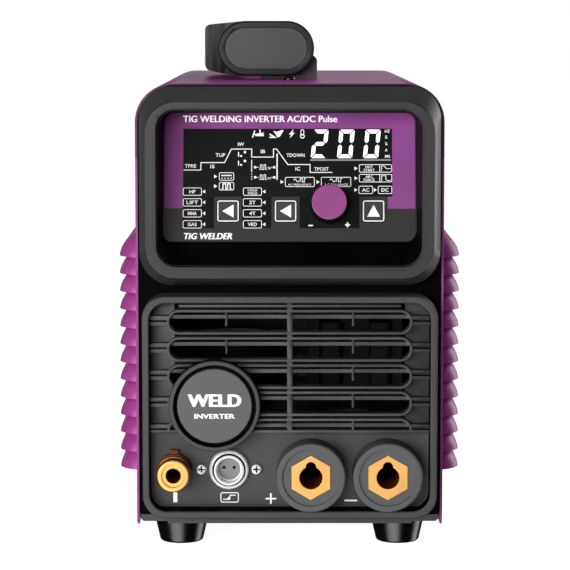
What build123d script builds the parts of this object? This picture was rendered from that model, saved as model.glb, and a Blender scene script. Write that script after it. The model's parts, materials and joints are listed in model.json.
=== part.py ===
from build123d import *
import math
import os

# Millimetres. +X is to the operator's right, +Z is up and the front faces -Y.
# "Depth" is the distance behind the front plane, the plane of the two front rims.
# The row's origin is on the floor, under the middle of the whole machine.

# Overall
TIP_DEPTH = -10.0               # front end of the gas outlet
TAIL_DEPTH = 445.0              # rear end of the gas inlet
FRONT_Y = -(TIP_DEPTH + TAIL_DEPTH) / 2

# Cover and base
CASE_HALF = 89.0
CASE_TOP = 271.0
CASE_CORNER = 22.0
COVER_SHEET = 1.4
COVER_LOW = 14.7
COVER_FRONT = 22.0
COVER_REAR = 422.0
BASE_LOW = 17.0
BASE_SHEET = 1.5
INNER_HALF = CASE_HALF - COVER_SHEET
INNER_TOP = CASE_TOP - COVER_SHEET
INNER_CORNER = CASE_CORNER - COVER_SHEET
FLOOR = BASE_LOW + BASE_SHEET

# Side vents
VENT_COUNT = 13
VENT_PITCH = 10.6
VENT_FIRST = 168.5              # lower lip of the highest scoop
VENT_HEIGHT = 15.5
VENT_REACH = 12.6
VENT_WALL = 1.8
VENT_NEAR = 60.0
VENT_FAR = 360.0

# Front fascia
WALL_DEPTH = 20.0
WALL_THICK = 4.0
WALL_HALF = 86.6
WALL_LOW = 16.8
LIP_LOW = 15.5                  # lower lip between the front feet
LIP_HALF = 71.0
RIM_OUTER = (84.5, 22.2, 150.6, 13.0)       # half width, low, high, corner radius
RIM_INNER = (80.4, 26.3, 146.6, 10.0)
LEDGE_INNER = (77.0, 30.0, 143.0, 7.0)
LEDGE_DEPTH = 15.0
PLATE_DEPTH = 12.0
PLATE_TOP = 71.2

# Display bezel
BEZEL_BACK = (86.2, 156.0, 270.3, 19.5)
BEZEL_FACE = (82.2, 160.9, 260.9, 17.5)
BEZEL_MOUTH = (76.3, 167.2, 257.5, 12.0)
BEZEL_SLOPE = 10.0              # depth over which the outside widens
BEZEL_WALL = 2.4

# Control panel: a plane that leans back
PANEL_TILT = 13.0
PANEL_DEPTH = 21.0              # of the panel's lower edge
PANEL_LOW = 180.2
PANEL_HALF = 72.6
PANEL_TALL = 75.4
OVERLAY = 1.0
PANEL_WALL = 3.0
BOARD_GAP = 7.0
WINDOW = (-61.6, 59.3, 26.2, 66.1)          # left, right, low, high on the panel
KEY_X = {"key_left": -35.6, "key_middle": -2.4, "key_right": 48.4}
KEY_V = 17.7
KEY_SIZE = 12.4
KNOB_X = 22.6
KNOB_V = 20.8
KNOB_RADIUS = 10.7
KNOB_FRONT = 15.3
SHAFT_RADIUS = 3.0
RUNNING = 0.05                  # radial clearance of every turning or sliding fit

# Grille
SLOT_COUNT = 5
SLOT_PITCH = 15.7
SLOT_FIRST = 135.3              # middle of the highest slot
SLOT_HALF = 69.0
SLOT_TALL = 11.5
SLOT_RIM = 1.3
GRILLE_FRONT = 4.0
BADGE_X = -43.0
BADGE_Z = 87.7
BADGE_RADIUS = 26.2

# Connectors
SOCKET_X = {"positive": 12.1, "negative": 56.1}
SOCKET_Z = 47.0
SOCKET_FLANGE = 20.0
SOCKET_FRONT = -7.0
SOCKET_BORE = 6.5
SOCKET_HEX = 22.4
GAS_X = -66.5
GAS_Z = 48.6
GAS_BORE = 4.4
TORCH_X = -35.0
TORCH_Z = 49.0
TORCH_BORE = 7.0
TORCH_SEAT = 12.0               # depth of the insert's front face
TORCH_INSERT = 6.4              # radius of the insert

# Feet
FOOT_X = 64.0
FOOT_DEPTHS = {"front": 49.0, "rear": 375.0}
FOOT_TOP_RADIUS = 16.4
FOOT_LOW_RADIUS = 12.5

# Folding handle
PIVOT_X = -1.4
PIVOT_Z = 290.0
ARM_RADIUS = 16.8
ARM_REACH = 25.4                # from the pivot to the arm's other round end
ARM_NEAR = 130.0
ARM_THICK = 18.0
ARM_FAR = 320.0
GRIP_OUT = -54.5
GRIP_IN = -28.0
PIN_RADIUS = 4.0

# Rear
REAR_WALL = 412.0
REAR_THICK = 2.5
REAR_FACE = REAR_WALL + REAR_THICK
FAN_Z = 130.0
FAN_HALF = 60.0
FAN_DEPTH = 25.0
SWITCH_X = 44.0
SWITCH_Z = 230.0
ROCKER_PIVOT = 412.0
ROCKER_THROW = 23.5             # degrees between its two positions
GLAND_X = 52.0
GLAND_Z = 45.0
GLAND_BORE = 5.5


def face_plane(depth):
    """Plane across the machine at a depth, drawn on in X and Z."""
    return Plane(origin=(0, FRONT_Y + depth, 0), x_dir=(1, 0, 0), z_dir=(0, -1, 0))


def prism(outline, near, far):
    """Outline drawn in X and Z, solid from one depth to another."""
    return extrude(face_plane(far) * outline, amount=far - near)


def block(x, depth, z):
    """Box between two X, two depth and two Z limits."""
    centre = Pos((x[0] + x[1]) / 2, FRONT_Y + (depth[0] + depth[1]) / 2, (z[0] + z[1]) / 2)
    return centre * Box(x[1] - x[0], depth[1] - depth[0], z[1] - z[0])


def rod(x, z, radius, near, far):
    """Round bar along the depth."""
    return prism(Pos(x, z) * Circle(radius), near, far)


def post(x, depth, radius, low, high):
    """Upright round bar."""
    return Pos(x, FRONT_Y + depth, (low + high) / 2) * Cylinder(radius, high - low)


def rounded(half, low, high, radius):
    """Rectangle about X = 0 with four round corners."""
    return Pos(0, (low + high) / 2) * RectangleRounded(2 * half, high - low, radius)


def hood(half, low, high, radius):
    """Rectangle about X = 0 with its two upper corners round."""
    blank = Pos(0, (low + high) / 2) * Rectangle(2 * half, high - low)
    return fillet(blank.vertices().group_by(Axis.Y)[-1], radius)


def hexagon(across_flats, turn=0.0):
    """Hexagon with flats at the sides, or turned from there."""
    return RegularPolygon(across_flats / 2, 6, major_radius=False, rotation=30 + turn)


def mirrored(part):
    """The same piece on the machine's other side."""
    return mirror(part, about=Plane.YZ)


PANEL = Plane(
    origin=(0, FRONT_Y + PANEL_DEPTH, PANEL_LOW),
    x_dir=(1, 0, 0),
    z_dir=(0, -math.cos(math.radians(PANEL_TILT)), math.sin(math.radians(PANEL_TILT))),
)


def panel_prism(outline, back, front):
    """Outline drawn on the control panel, solid between two heights above its face."""
    return extrude(PANEL.offset(back) * outline, amount=front - back)


def panel_sheet(half, low, high, radius):
    """Rounded rectangle on the control panel."""
    return Pos(0, (low + high) / 2) * RectangleRounded(2 * half, high - low, radius)


# ---------------------------------------------------------------- case

def base_plate():
    tray = block((-INNER_HALF, INNER_HALF), (24, REAR_WALL), (BASE_LOW, FLOOR))
    for side in (-1, 1):
        inner = side * (INNER_HALF - BASE_SHEET)
        outer = side * INNER_HALF
        flange = block(sorted((inner, outer)), (62, 398), (FLOOR, FLOOR + 12))
        tray = tray + flange
    for x in (-FOOT_X, FOOT_X):
        for depth in FOOT_DEPTHS.values():
            tray = tray - post(x, depth, 2.6, BASE_LOW - 1, FLOOR + 1)
    for row in range(6):
        tray = tray - block((-30, 30), (150 + 30 * row, 156 + 30 * row), (BASE_LOW - 1, FLOOR + 1))
    for screw in cover_screw_places():
        tray = tray - screw * Cylinder(2.0, 16)
    return tray


def top_cover():
    shell = hood(CASE_HALF, COVER_LOW, CASE_TOP, CASE_CORNER)
    shell = fillet(shell.vertices().group_by(Axis.Y)[0], 1.2)
    hollow = hood(INNER_HALF, COVER_LOW - 20, INNER_TOP, INNER_CORNER)
    cover = prism(shell - hollow, COVER_FRONT, COVER_REAR)
    low = VENT_FIRST - (VENT_COUNT - 1) * VENT_PITCH
    window = block((-95, 95), (VENT_NEAR - 2, VENT_FAR + 2), (low - 3, VENT_FIRST + VENT_HEIGHT + 2))
    cover = cover - window
    for screw in cover_screw_places():
        cover = cover - screw * Cylinder(2.2, 12)
    return cover


def scoop_back(lip):
    """Curved outer line of one scoop, from the case down to its tip, on the +X side."""
    start = (CASE_HALF - 0.6, lip + VENT_HEIGHT)
    shoulder = (CASE_HALF + 0.68 * VENT_REACH, lip + 0.62 * VENT_HEIGHT)
    return ThreePointArc(start, shoulder, (CASE_HALF + VENT_REACH, lip + 0.6))


def scoop_outline(lip):
    """Curved blade of one scoop."""
    outer = scoop_back(lip)
    start = (CASE_HALF + VENT_REACH - VENT_WALL, lip - 0.1)
    shoulder = (CASE_HALF + 0.68 * VENT_REACH - 1.4, lip + 0.62 * VENT_HEIGHT - 1.4)
    inner = ThreePointArc(start, shoulder, (CASE_HALF - 0.6, lip + VENT_HEIGHT - 2.6))
    tip = Line(outer @ 1, inner @ 0)
    root = Line(inner @ 1, outer @ 0)
    return make_face([outer.edge(), tip.edge(), inner.edge(), root.edge()])


def cheek_outline(lip):
    """Closed end of one scoop."""
    outer = scoop_back(lip)
    foot = (CASE_HALF - 0.6, lip - 0.9)
    return make_face([outer.edge(), Line(outer @ 1, foot).edge(), Line(foot, outer @ 0).edge()])


def side_vent():
    """Moulded vent insert of the +X side: flange inside, scoops outside."""
    low = VENT_FIRST - (VENT_COUNT - 1) * VENT_PITCH
    high = VENT_FIRST + VENT_HEIGHT
    flange = block((INNER_HALF - 1.8, INNER_HALF), (VENT_NEAR - 6, VENT_FAR + 6), (low - 7, high + 6))
    plug = block((INNER_HALF, CASE_HALF + 0.4), (VENT_NEAR - 1.8, VENT_FAR + 1.8), (low - 2.8, high + 1.8))
    vent = flange + plug
    scoops = []
    slots = []
    for row in range(VENT_COUNT):
        lip = VENT_FIRST - row * VENT_PITCH
        scoops.append(prism(scoop_outline(lip), VENT_NEAR, VENT_FAR))
        scoops.append(prism(cheek_outline(lip), VENT_NEAR, VENT_NEAR + 1.8))
        scoops.append(prism(cheek_outline(lip), VENT_FAR - 1.8, VENT_FAR))
        for near in (VENT_NEAR + 4, (VENT_NEAR + VENT_FAR) / 2 + 3):
            far = near + (VENT_FAR - VENT_NEAR) / 2 - 7
            slots.append(block((INNER_HALF - 3, CASE_HALF + 0.5), (near, far), (lip + 1.2, lip + 7.4)))
    return vent - slots + scoops


def front_fascia():
    wall = hood(WALL_HALF, WALL_LOW, INNER_TOP - 0.8, INNER_CORNER)
    wall = chamfer(wall.vertices().group_by(Axis.Y)[0], 1.5)
    opening = rounded(*RIM_INNER)
    display_hole = rounded(78.6, 163.0, 260.6, 10.0)
    body = prism(wall - opening - display_hole, WALL_DEPTH, WALL_DEPTH + WALL_THICK)
    body = body + prism(rounded(*RIM_OUTER) - opening, 0, WALL_DEPTH)
    lip = block((-LIP_HALF, LIP_HALF), (WALL_DEPTH, WALL_DEPTH + WALL_THICK), (LIP_LOW, WALL_LOW + 1))
    body = body + lip
    body = body + prism(opening - rounded(*LEDGE_INNER), LEDGE_DEPTH, WALL_DEPTH + WALL_THICK)
    skirt = hood(INNER_HALF, FLOOR, INNER_TOP, INNER_CORNER)
    skirt_hollow = hood(INNER_HALF - 2.5, FLOOR + 2.5, INNER_TOP - 2.5, INNER_CORNER - 2.5)
    body = body + prism(skirt - skirt_hollow, WALL_DEPTH + WALL_THICK, 53)
    for x in (-FOOT_X, FOOT_X):
        body = body - post(x, FOOT_DEPTHS["front"], 2.6, FLOOR - 1, FLOOR + 4)
    rim_edges = body.faces().sort_by(Axis.Y)[0].edges()
    return fillet(rim_edges, 0.9)


def display_bezel():
    mouth = face_plane(0) * rounded(*BEZEL_MOUTH)
    panel_face = PANEL * panel_sheet(PANEL_HALF + 0.6, -0.6, PANEL_TALL + 0.6, 6.0)
    recess = loft([mouth, panel_face])

    face = face_plane(0) * rounded(*BEZEL_FACE)
    shoulder = face_plane(BEZEL_SLOPE) * rounded(*BEZEL_BACK)
    outside = loft([face, shoulder]) + prism(rounded(*BEZEL_BACK), BEZEL_SLOPE, WALL_DEPTH)

    inner_face = face_plane(3.2) * rounded(80.6, 162.8, 260.6, 15.5)
    back_half, back_low, back_high, back_corner = BEZEL_BACK
    inner_back = rounded(
        back_half - BEZEL_WALL, back_low + BEZEL_WALL, back_high - BEZEL_WALL, back_corner - BEZEL_WALL
    )
    inner = loft([inner_face, face_plane(BEZEL_SLOPE + 1.5) * inner_back])
    inner = inner + prism(inner_back, BEZEL_SLOPE + 1.5, WALL_DEPTH + 1)

    tub_mouth = face_plane(1.5) * rounded(78.4, 165.2, 259.6, 13.0)
    tub_floor = panel_sheet(PANEL_HALF + 2.6, -2.6, PANEL_TALL + 2.6, 7.0)
    tub_back = PANEL.offset(-OVERLAY - PANEL_WALL) * tub_floor
    tub = loft([tub_mouth, tub_back])

    bed = panel_prism(panel_sheet(PANEL_HALF + 0.1, -0.1, PANEL_TALL + 0.1, 5.6), -OVERLAY, 0.5)
    bezel = outside - inner + tub - recess - bed
    bezel = bezel - panel_prism(window_outline(2.5), -8, 0)
    for x in KEY_X.values():
        bezel = bezel - panel_prism(key_hole(x), -8, 0)
    bezel = bezel - panel_prism(Pos(KNOB_X, KNOB_V) * Circle(3.6), -8, 0)
    for x in (-69, 69):
        for v in (4, PANEL_TALL - 5):
            pillar = Pos(x, v) * Circle(2.8)
            bezel = bezel + panel_prism(pillar, -OVERLAY - PANEL_WALL - BOARD_GAP, -OVERLAY - 1)
    return bezel


def key_hole(x):
    """Opening in the panel round one key."""
    return Pos(x, KEY_V) * RectangleRounded(KEY_SIZE + 0.8, KEY_SIZE + 0.8, 1.9)


def window_outline(inset):
    left, right, low, high = WINDOW
    sheet = RectangleRounded(right - left - 2 * inset, high - low - 2 * inset, 0.8)
    return Pos((left + right) / 2, (low + high) / 2) * sheet


def grille_slot(middle):
    """Stadium-ended opening of one grille slot."""
    return Pos(0, middle) * SlotOverall(2 * SLOT_HALF, SLOT_TALL)


def slot_middles():
    return [SLOT_FIRST - row * SLOT_PITCH for row in range(SLOT_COUNT)]


def grille_rails(middle):
    """Rails that join both ends of one slot to the grille's sides."""
    rails = []
    for side in (-1, 1):
        ends = sorted((side * (SLOT_HALF - 0.5), side * (RIM_INNER[0] - 0.2)))
        for centre, tall in ((middle + 2.4, 2.2), (middle - 0.9, 1.9)):
            rail = block(ends, (GRILLE_FRONT + 1, PLATE_DEPTH), (centre - tall / 2, centre + tall / 2))
            rails.append(rail - prism(grille_slot(middle), 0, LEDGE_DEPTH))
    return rails


def grille_bars(middle):
    """Level bar and two upright ribs behind one slot."""
    level = block((-SLOT_HALF - 0.3, SLOT_HALF + 0.3), (6, 12), (middle + 2.0, middle + 4.0))
    bars = [level]
    for x in (-36.3, 36.3):
        bars.append(block((x - 0.65, x + 0.65), (5.5, 13), (middle - 2.4, middle + SLOT_TALL / 2 + 0.3)))
    return bars


def front_grille():
    half, low, high, radius = RIM_INNER
    sheet = hood(half - 0.2, PLATE_TOP + 0.2, high - 0.2, radius - 0.2)
    plate = prism(sheet, PLATE_DEPTH, LEDGE_DEPTH)
    pieces = []
    slots = []
    bars = []
    for middle in slot_middles():
        slots.append(prism(grille_slot(middle), 0, LEDGE_DEPTH + 1))
        rim = Pos(0, middle) * SlotOverall(2 * (SLOT_HALF + SLOT_RIM), SLOT_TALL + 2 * SLOT_RIM)
        pieces.append(prism(rim - grille_slot(middle), GRILLE_FRONT, PLATE_DEPTH))
        pieces = pieces + grille_rails(middle)
        bars = bars + grille_bars(middle)
    plate = plate + pieces - slots
    top_edge = SLOT_FIRST + SLOT_PITCH - SLOT_TALL / 2
    bars.append(block((-63.5, 63.5), (GRILLE_FRONT, PLATE_DEPTH), (top_edge - SLOT_RIM, top_edge)))
    bars.append(block((-1.5, 1.5), (GRILLE_FRONT + 0.8, LEDGE_DEPTH), (PLATE_TOP + 0.2, high - 0.2)))
    shelf_height = (PLATE_TOP + 0.2, PLATE_TOP + 1.7)
    bars.append(block((-half + 0.2, half - 0.2), (GRILLE_FRONT, LEDGE_DEPTH), shelf_height))
    grille = (plate + bars) & prism(sheet, 0, LEDGE_DEPTH + 1)
    return grille - rod(BADGE_X, BADGE_Z, BADGE_RADIUS + 0.2, -1, PLATE_DEPTH)


def connector_plate():
    half, low, high, radius = RIM_INNER
    blank = Pos(0, (low + 0.2 + PLATE_TOP) / 2) * Rectangle(2 * half - 0.4, PLATE_TOP - low - 0.2)
    outline = fillet(blank.vertices().group_by(Axis.Y)[0], radius - 0.2)
    plate = prism(outline, PLATE_DEPTH, LEDGE_DEPTH)
    border = outline - offset(outline, amount=-1.6)
    plate = plate + prism(border, PLATE_DEPTH - 1.2, PLATE_DEPTH)
    for x in SOCKET_X.values():
        plate = plate - rod(x, SOCKET_Z, 15.1, 5, 20)
        plate = plate - rod(x, SOCKET_Z, SOCKET_FLANGE + 0.2, 5, PLATE_DEPTH)
    plate = plate - rod(TORCH_X, TORCH_Z, 9.5, 5, 20)
    plate = plate - rod(GAS_X, GAS_Z, 6.6, 5, 20)
    for x in torch_screw_places():
        plate = plate - rod(x, TORCH_Z, 1.6, 5, 20)
    return plate


def badge_ring():
    ring = Circle(BADGE_RADIUS) - Circle(BADGE_RADIUS - 3.2)
    body = prism(Pos(BADGE_X, BADGE_Z) * ring, -2.5, PLATE_DEPTH - 1.2)
    body = fillet(body.faces().sort_by(Axis.Y)[0].edges(), 0.9)
    floor = rod(BADGE_X, BADGE_Z, BADGE_RADIUS - 3.0, 4, PLATE_DEPTH - 1.2)
    spigot = rod(BADGE_X, BADGE_Z + 3, 15, PLATE_DEPTH - 1.2, PLATE_DEPTH) & block(
        (-80, 80), (0, 30), (PLATE_TOP + 2, 200)
    )
    return body + floor + spigot


def badge_disc():
    disc = rod(BADGE_X, BADGE_Z, BADGE_RADIUS - 4.7, -1.4, 4)
    return fillet(disc.faces().sort_by(Axis.Y)[0].edges(), 0.8)


# ---------------------------------------------------------------- controls

def control_overlay():
    sheet = panel_sheet(PANEL_HALF, 0, PANEL_TALL, 5.5) - window_outline(0)
    for x in KEY_X.values():
        sheet = sheet - key_hole(x)
    sheet = sheet - Pos(KNOB_X, KNOB_V) * Circle(3.6)
    return panel_prism(sheet, -OVERLAY, 0)


def lcd_window():
    return panel_prism(window_outline(0), -OVERLAY, 0)


def lcd_module():
    glass = panel_prism(window_outline(3.5), -8, -OVERLAY - 0.3)
    left, right, low, high = WINDOW
    frame = Pos((left + right) / 2, (low + high) / 2 + 1.5) * Rectangle(right - left - 4, high - low - 3)
    return glass + panel_prism(frame, -OVERLAY - PANEL_WALL - BOARD_GAP, -8)


def control_board():
    back = -OVERLAY - PANEL_WALL - BOARD_GAP
    board = panel_prism(panel_sheet(PANEL_HALF - 0.5, 0.5, PANEL_TALL - 1, 1.5), back - 1.6, back)
    for x in KEY_X.values():
        board = board + panel_prism(Pos(x, KEY_V) * Rectangle(6, 6), back, -7.8)
    chips = ((-45, 50, 14, 14), (10, 55, 20, 9), (40, 35, 10, 16))
    for x, v, wide, tall in chips:
        board = board + panel_prism(Pos(x, v) * Rectangle(wide, tall), back - 3.4, back - 1.6)
    return board


def encoder_body():
    back = -OVERLAY - PANEL_WALL - BOARD_GAP
    centre = Pos(KNOB_X, KNOB_V)
    body = panel_prism(centre * Rectangle(12, 11), back, -OVERLAY - PANEL_WALL - 0.4)
    body = body + panel_prism(centre * Circle(3.5), -OVERLAY - PANEL_WALL - 0.4, 3.6)
    body = body + panel_prism(centre * (hexagon(10) - Circle(3.45)), 0, 1.4)
    body = body - panel_prism(centre * Circle(SHAFT_RADIUS + RUNNING), back + 0.8, 4)
    return body - panel_prism(centre * Circle(5.0), -9.4, -7.0)


def encoder_rotor():
    ring = Circle(4.7) - Circle(SHAFT_RADIUS + RUNNING)
    return panel_prism(Pos(KNOB_X, KNOB_V) * ring, -9.1, -7.3)


def encoder_shaft():
    return panel_prism(Pos(KNOB_X, KNOB_V) * Circle(SHAFT_RADIUS), -9.4, 12.2)


def control_knob():
    centre = Pos(KNOB_X, KNOB_V)
    skirt = Circle(KNOB_RADIUS)
    flutes = PolarLocations(KNOB_RADIUS + 0.1, 36)
    skirt = skirt - flutes * Circle(0.5)
    knob = panel_prism(centre * skirt, 1.2, KNOB_FRONT - 1.5)
    knob = knob - panel_prism(centre * Circle(8.8), 1.1, 5.0)
    knob = knob - panel_prism(centre * (Circle(8.8) - Circle(5.2)), 5.0, 10.5)
    return knob - panel_prism(centre * Circle(SHAFT_RADIUS), 4.9, 12.2)


def knob_cap():
    cap = panel_prism(Pos(KNOB_X, KNOB_V) * Circle(KNOB_RADIUS - 0.6), KNOB_FRONT - 1.5, KNOB_FRONT)
    return fillet(cap.edges().sort_by(Axis.Y)[0], 0.5)


def key(x):
    centre = Pos(x, KEY_V)
    cap = panel_prism(centre * RectangleRounded(KEY_SIZE, KEY_SIZE, 1.6), -4.2, 0.7)
    flange = panel_prism(centre * RectangleRounded(KEY_SIZE + 2.2, KEY_SIZE + 2.2, 1.6), -5.4, -4.2)
    stem = panel_prism(centre * Circle(2.0), -7.1, -5.4)
    return cap + flange + stem


# ---------------------------------------------------------------- connectors

def socket_housing(x):
    body = rod(x, SOCKET_Z, SOCKET_FLANGE, SOCKET_FRONT, PLATE_DEPTH)
    body = fillet(body.faces().sort_by(Axis.Y)[0].edges(), 1.2)
    body = body + rod(x, SOCKET_Z, 15.0, PLATE_DEPTH, 36)
    body = body - rod(x, SOCKET_Z, 16.4, SOCKET_FRONT - 1, SOCKET_FRONT + 1.3)
    body = body - prism(Pos(x, SOCKET_Z) * hexagon(SOCKET_HEX), SOCKET_FRONT, 8)
    return body - rod(x, SOCKET_Z, 10.0, 8, 37)


def socket_contact(x):
    body = prism(Pos(x, SOCKET_Z) * hexagon(SOCKET_HEX), SOCKET_FRONT + 0.7, 8)
    body = body + rod(x, SOCKET_Z, 10.0, 8, 38)
    body = body + rod(x, SOCKET_Z, 5.0, 38, 56)
    body = body - rod(x, SOCKET_Z, SOCKET_BORE, SOCKET_FRONT, 24)
    return body - rod(x, SOCKET_Z + 6.2, 2.9, SOCKET_FRONT, 24)


def socket_nuts():
    nuts = []
    for x in SOCKET_X.values():
        outline = Pos(x, SOCKET_Z) * (hexagon(33, 30) - Circle(15.0))
        nuts.append(prism(outline, LEDGE_DEPTH, LEDGE_DEPTH + 6))
    return Compound(children=[nut.solid() for nut in nuts])


def torch_screw_places():
    return (TORCH_X - 16.0, TORCH_X + 15.8)


def torch_socket_shell():
    shell = rod(TORCH_X, TORCH_Z, 11.5, 8.0, PLATE_DEPTH)
    shell = fillet(shell.faces().sort_by(Axis.Y)[0].edges(), 1.4)
    shell = shell + rod(TORCH_X, TORCH_Z, 8.6, 6.2, 9)
    shell = shell + rod(TORCH_X, TORCH_Z, 9.4, PLATE_DEPTH, 30)
    shell = shell - rod(TORCH_X, TORCH_Z, TORCH_BORE, 5, TORCH_SEAT)
    return shell - rod(TORCH_X, TORCH_Z, TORCH_INSERT, 5, 27)


def torch_socket_insert():
    """Insulated disc with two contact holes."""
    insert = rod(TORCH_X, TORCH_Z, TORCH_INSERT, TORCH_SEAT, 27)
    for x in (TORCH_X - 2.9, TORCH_X + 2.9):
        insert = insert - rod(x, TORCH_Z + 0.8, 0.9, 11, 20)
    return insert


def cross_recess(x, z, near, depth, size):
    """Phillips cross for a screw whose axis is along the depth."""
    wide = size * 0.22
    upright = block((x - wide / 2, x + wide / 2), (near - 1, near + depth), (z - size / 2, z + size / 2))
    level = block((x - size / 2, x + size / 2), (near - 1, near + depth), (z - wide / 2, z + wide / 2))
    return upright + level


def torch_socket_screws():
    screws = []
    for x in torch_screw_places():
        head = rod(x, TORCH_Z, 3.3, PLATE_DEPTH - 2.0, PLATE_DEPTH)
        head = fillet(head.faces().sort_by(Axis.Y)[0].edges(), 1.1)
        screw = head + rod(x, TORCH_Z, 1.5, PLATE_DEPTH, 24)
        screws.append(screw - cross_recess(x, TORCH_Z, PLATE_DEPTH - 2.0, 0.9, 3.8))
    return Compound(children=[screw.solid() for screw in screws])


def gas_outlet_body():
    """Panel fitting with a grooved collar and the tube that the sleeve slides on."""
    body = rod(GAS_X, GAS_Z, 6.5, TIP_DEPTH + 1.0, 40)
    body = body + rod(GAS_X, GAS_Z, 10.0, 5.5, PLATE_DEPTH)
    body = body - prism(Pos(GAS_X, GAS_Z) * (Circle(11) - Circle(9.3)), 7.2, 8.2)
    body = body + block((GAS_X - 2.2, GAS_X + 2.2), (7.0, PLATE_DEPTH), (GAS_Z + 8, GAS_Z + 12.2))
    return body - rod(GAS_X, GAS_Z, GAS_BORE, TIP_DEPTH, 41)


def gas_outlet_sleeve():
    sleeve = rod(GAS_X, GAS_Z, 9.5, TIP_DEPTH, 3.2)
    sleeve = fillet(sleeve.faces().sort_by(Axis.Y)[0].edges(), 1.4)
    sleeve = sleeve - prism(Pos(GAS_X, GAS_Z) * (Circle(11) - Circle(8.7)), -2.5, 0)
    return sleeve - rod(GAS_X, GAS_Z, 6.5 + RUNNING, TIP_DEPTH - 1, 4)


def gas_outlet_nut():
    outline = Pos(GAS_X, GAS_Z) * (hexagon(19) - Circle(6.5))
    return prism(outline, LEDGE_DEPTH, LEDGE_DEPTH + 5)


# ---------------------------------------------------------------- feet

def foot(x, depth):
    body = Pos(x, FRONT_Y + depth, BASE_LOW / 2) * Cone(FOOT_LOW_RADIUS, FOOT_TOP_RADIUS, BASE_LOW)
    body = fillet(body.edges().sort_by(Axis.Z)[0], 2.0)
    body = body - post(x, depth, 5.5, -1, 8)
    return body - post(x, depth, 2.5, 7, BASE_LOW + 1)


def foot_screws():
    screws = []
    for x in (-FOOT_X, FOOT_X):
        for depth in FOOT_DEPTHS.values():
            screw = post(x, depth, 4.6, 5, 8) + post(x, depth, 2.5, 8, 26)
            screws.append(screw - post(x, depth, 1.8, 4, 6.6))
    return Compound(children=[screw.solid() for screw in screws])


# ---------------------------------------------------------------- handle

def arm_outline(shrink):
    """Round-ended outline of a handle arm in X and Z."""
    length = ARM_REACH + 2 * (ARM_RADIUS - shrink)
    return Pos(PIVOT_X - ARM_REACH / 2, PIVOT_Z) * SlotOverall(length, 2 * (ARM_RADIUS - shrink))


def grip_bar():
    """Bowed hand grip between the two arms."""
    outer = ARM_NEAR + 4
    inner = ARM_NEAR + ARM_THICK
    middle = (ARM_NEAR + ARM_FAR) / 2
    edge = PIVOT_X - ARM_REACH - ARM_RADIUS
    far_outer = ARM_FAR - 4
    far_inner = ARM_FAR - ARM_THICK
    bow = ThreePointArc((edge + 4, outer), (GRIP_OUT, middle), (edge + 4, far_outer))
    far_points = ((GRIP_IN + 5, far_inner), (GRIP_IN + 1.5, far_inner - 1.5), (GRIP_IN, far_inner - 5))
    near_points = ((GRIP_IN, inner + 5), (GRIP_IN + 1.5, inner + 1.5), (GRIP_IN + 5, inner))
    far_corner = ThreePointArc(*far_points)
    near_corner = ThreePointArc(*near_points)
    lines = [
        bow.edge(),
        Line((edge + 4, far_outer), (-10, far_outer)).edge(),
        Line((-10, far_outer), (-10, far_inner)).edge(),
        Line((-10, far_inner), (GRIP_IN + 5, far_inner)).edge(),
        far_corner.edge(),
        Line((GRIP_IN, far_inner - 5), (GRIP_IN, inner + 5)).edge(),
        near_corner.edge(),
        Line((GRIP_IN + 5, inner), (-10, inner)).edge(),
        Line((-10, inner), (-10, outer)).edge(),
        Line((-10, outer), (edge + 4, outer)).edge(),
    ]
    plan = Pos(0, FRONT_Y, PIVOT_Z - ARM_RADIUS) * make_face(lines)
    bar = extrude(plan, amount=2 * ARM_RADIUS)
    low = PIVOT_Z - ARM_RADIUS + 0.3
    high = PIVOT_Z + ARM_RADIUS - 0.3
    section = Polygon(
        (GRIP_OUT, PIVOT_Z - 14.2), (GRIP_IN - 2, low), (0, low),
        (0, high), (GRIP_IN - 2, high), (GRIP_OUT, PIVOT_Z + 14.2),
        align=None,
    )
    section = fillet(section.vertices().group_by(Axis.X)[0], 5.0)
    return bar & prism(section, ARM_NEAR, ARM_FAR)


def handle_grip():
    front = prism(arm_outline(0), ARM_NEAR, ARM_NEAR + ARM_THICK)
    rear = prism(arm_outline(0), ARM_FAR - ARM_THICK, ARM_FAR)
    front = fillet(front.faces().sort_by(Axis.Y)[0].edges(), 1.3)
    rear = fillet(rear.faces().sort_by(Axis.Y)[-1].edges(), 1.3)
    body = front + rear + grip_bar()
    for near, far in ((ARM_NEAR, ARM_NEAR + 1.6), (ARM_FAR - 1.6, ARM_FAR)):
        body = body - prism(arm_outline(3.9), near, far)
    body = body - rod(PIVOT_X, PIVOT_Z, 6.4, ARM_NEAR - 1, ARM_NEAR + 5)
    body = body - rod(PIVOT_X, PIVOT_Z, 6.4, ARM_FAR - 5, ARM_FAR + 1)
    inner_near = ARM_NEAR + ARM_THICK + 1
    inner_far = ARM_FAR - ARM_THICK - 1
    body = body - rod(PIVOT_X, PIVOT_Z, PIN_RADIUS + RUNNING, ARM_NEAR, inner_near)
    return body - rod(PIVOT_X, PIVOT_Z, PIN_RADIUS + RUNNING, inner_far, ARM_FAR)


def handle_caps():
    front = prism(arm_outline(4.1), ARM_NEAR + 0.4, ARM_NEAR + 1.6)
    rear = prism(arm_outline(4.1), ARM_FAR - 1.6, ARM_FAR - 0.4)
    return Compound(children=[front.solid(), rear.solid()])


def handle_bracket(near):
    """Fixed ear on the cover that carries one pivot pin."""
    far = near + 18
    foot_block = Pos(0, (CASE_TOP + 285.7) / 2) * Rectangle(34.8, 285.7 - CASE_TOP)
    foot_block = fillet(foot_block.vertices().group_by(Axis.Y)[-1], 4.0)
    ear = prism(foot_block, near, far) + rod(PIVOT_X, PIVOT_Z, 12.5, near, far)
    return ear - rod(PIVOT_X, PIVOT_Z, PIN_RADIUS, near - 1, far + 1)


def bracket_depths():
    gap = 0.5
    return (ARM_NEAR + ARM_THICK + gap, ARM_FAR - ARM_THICK - gap - 18)


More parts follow.
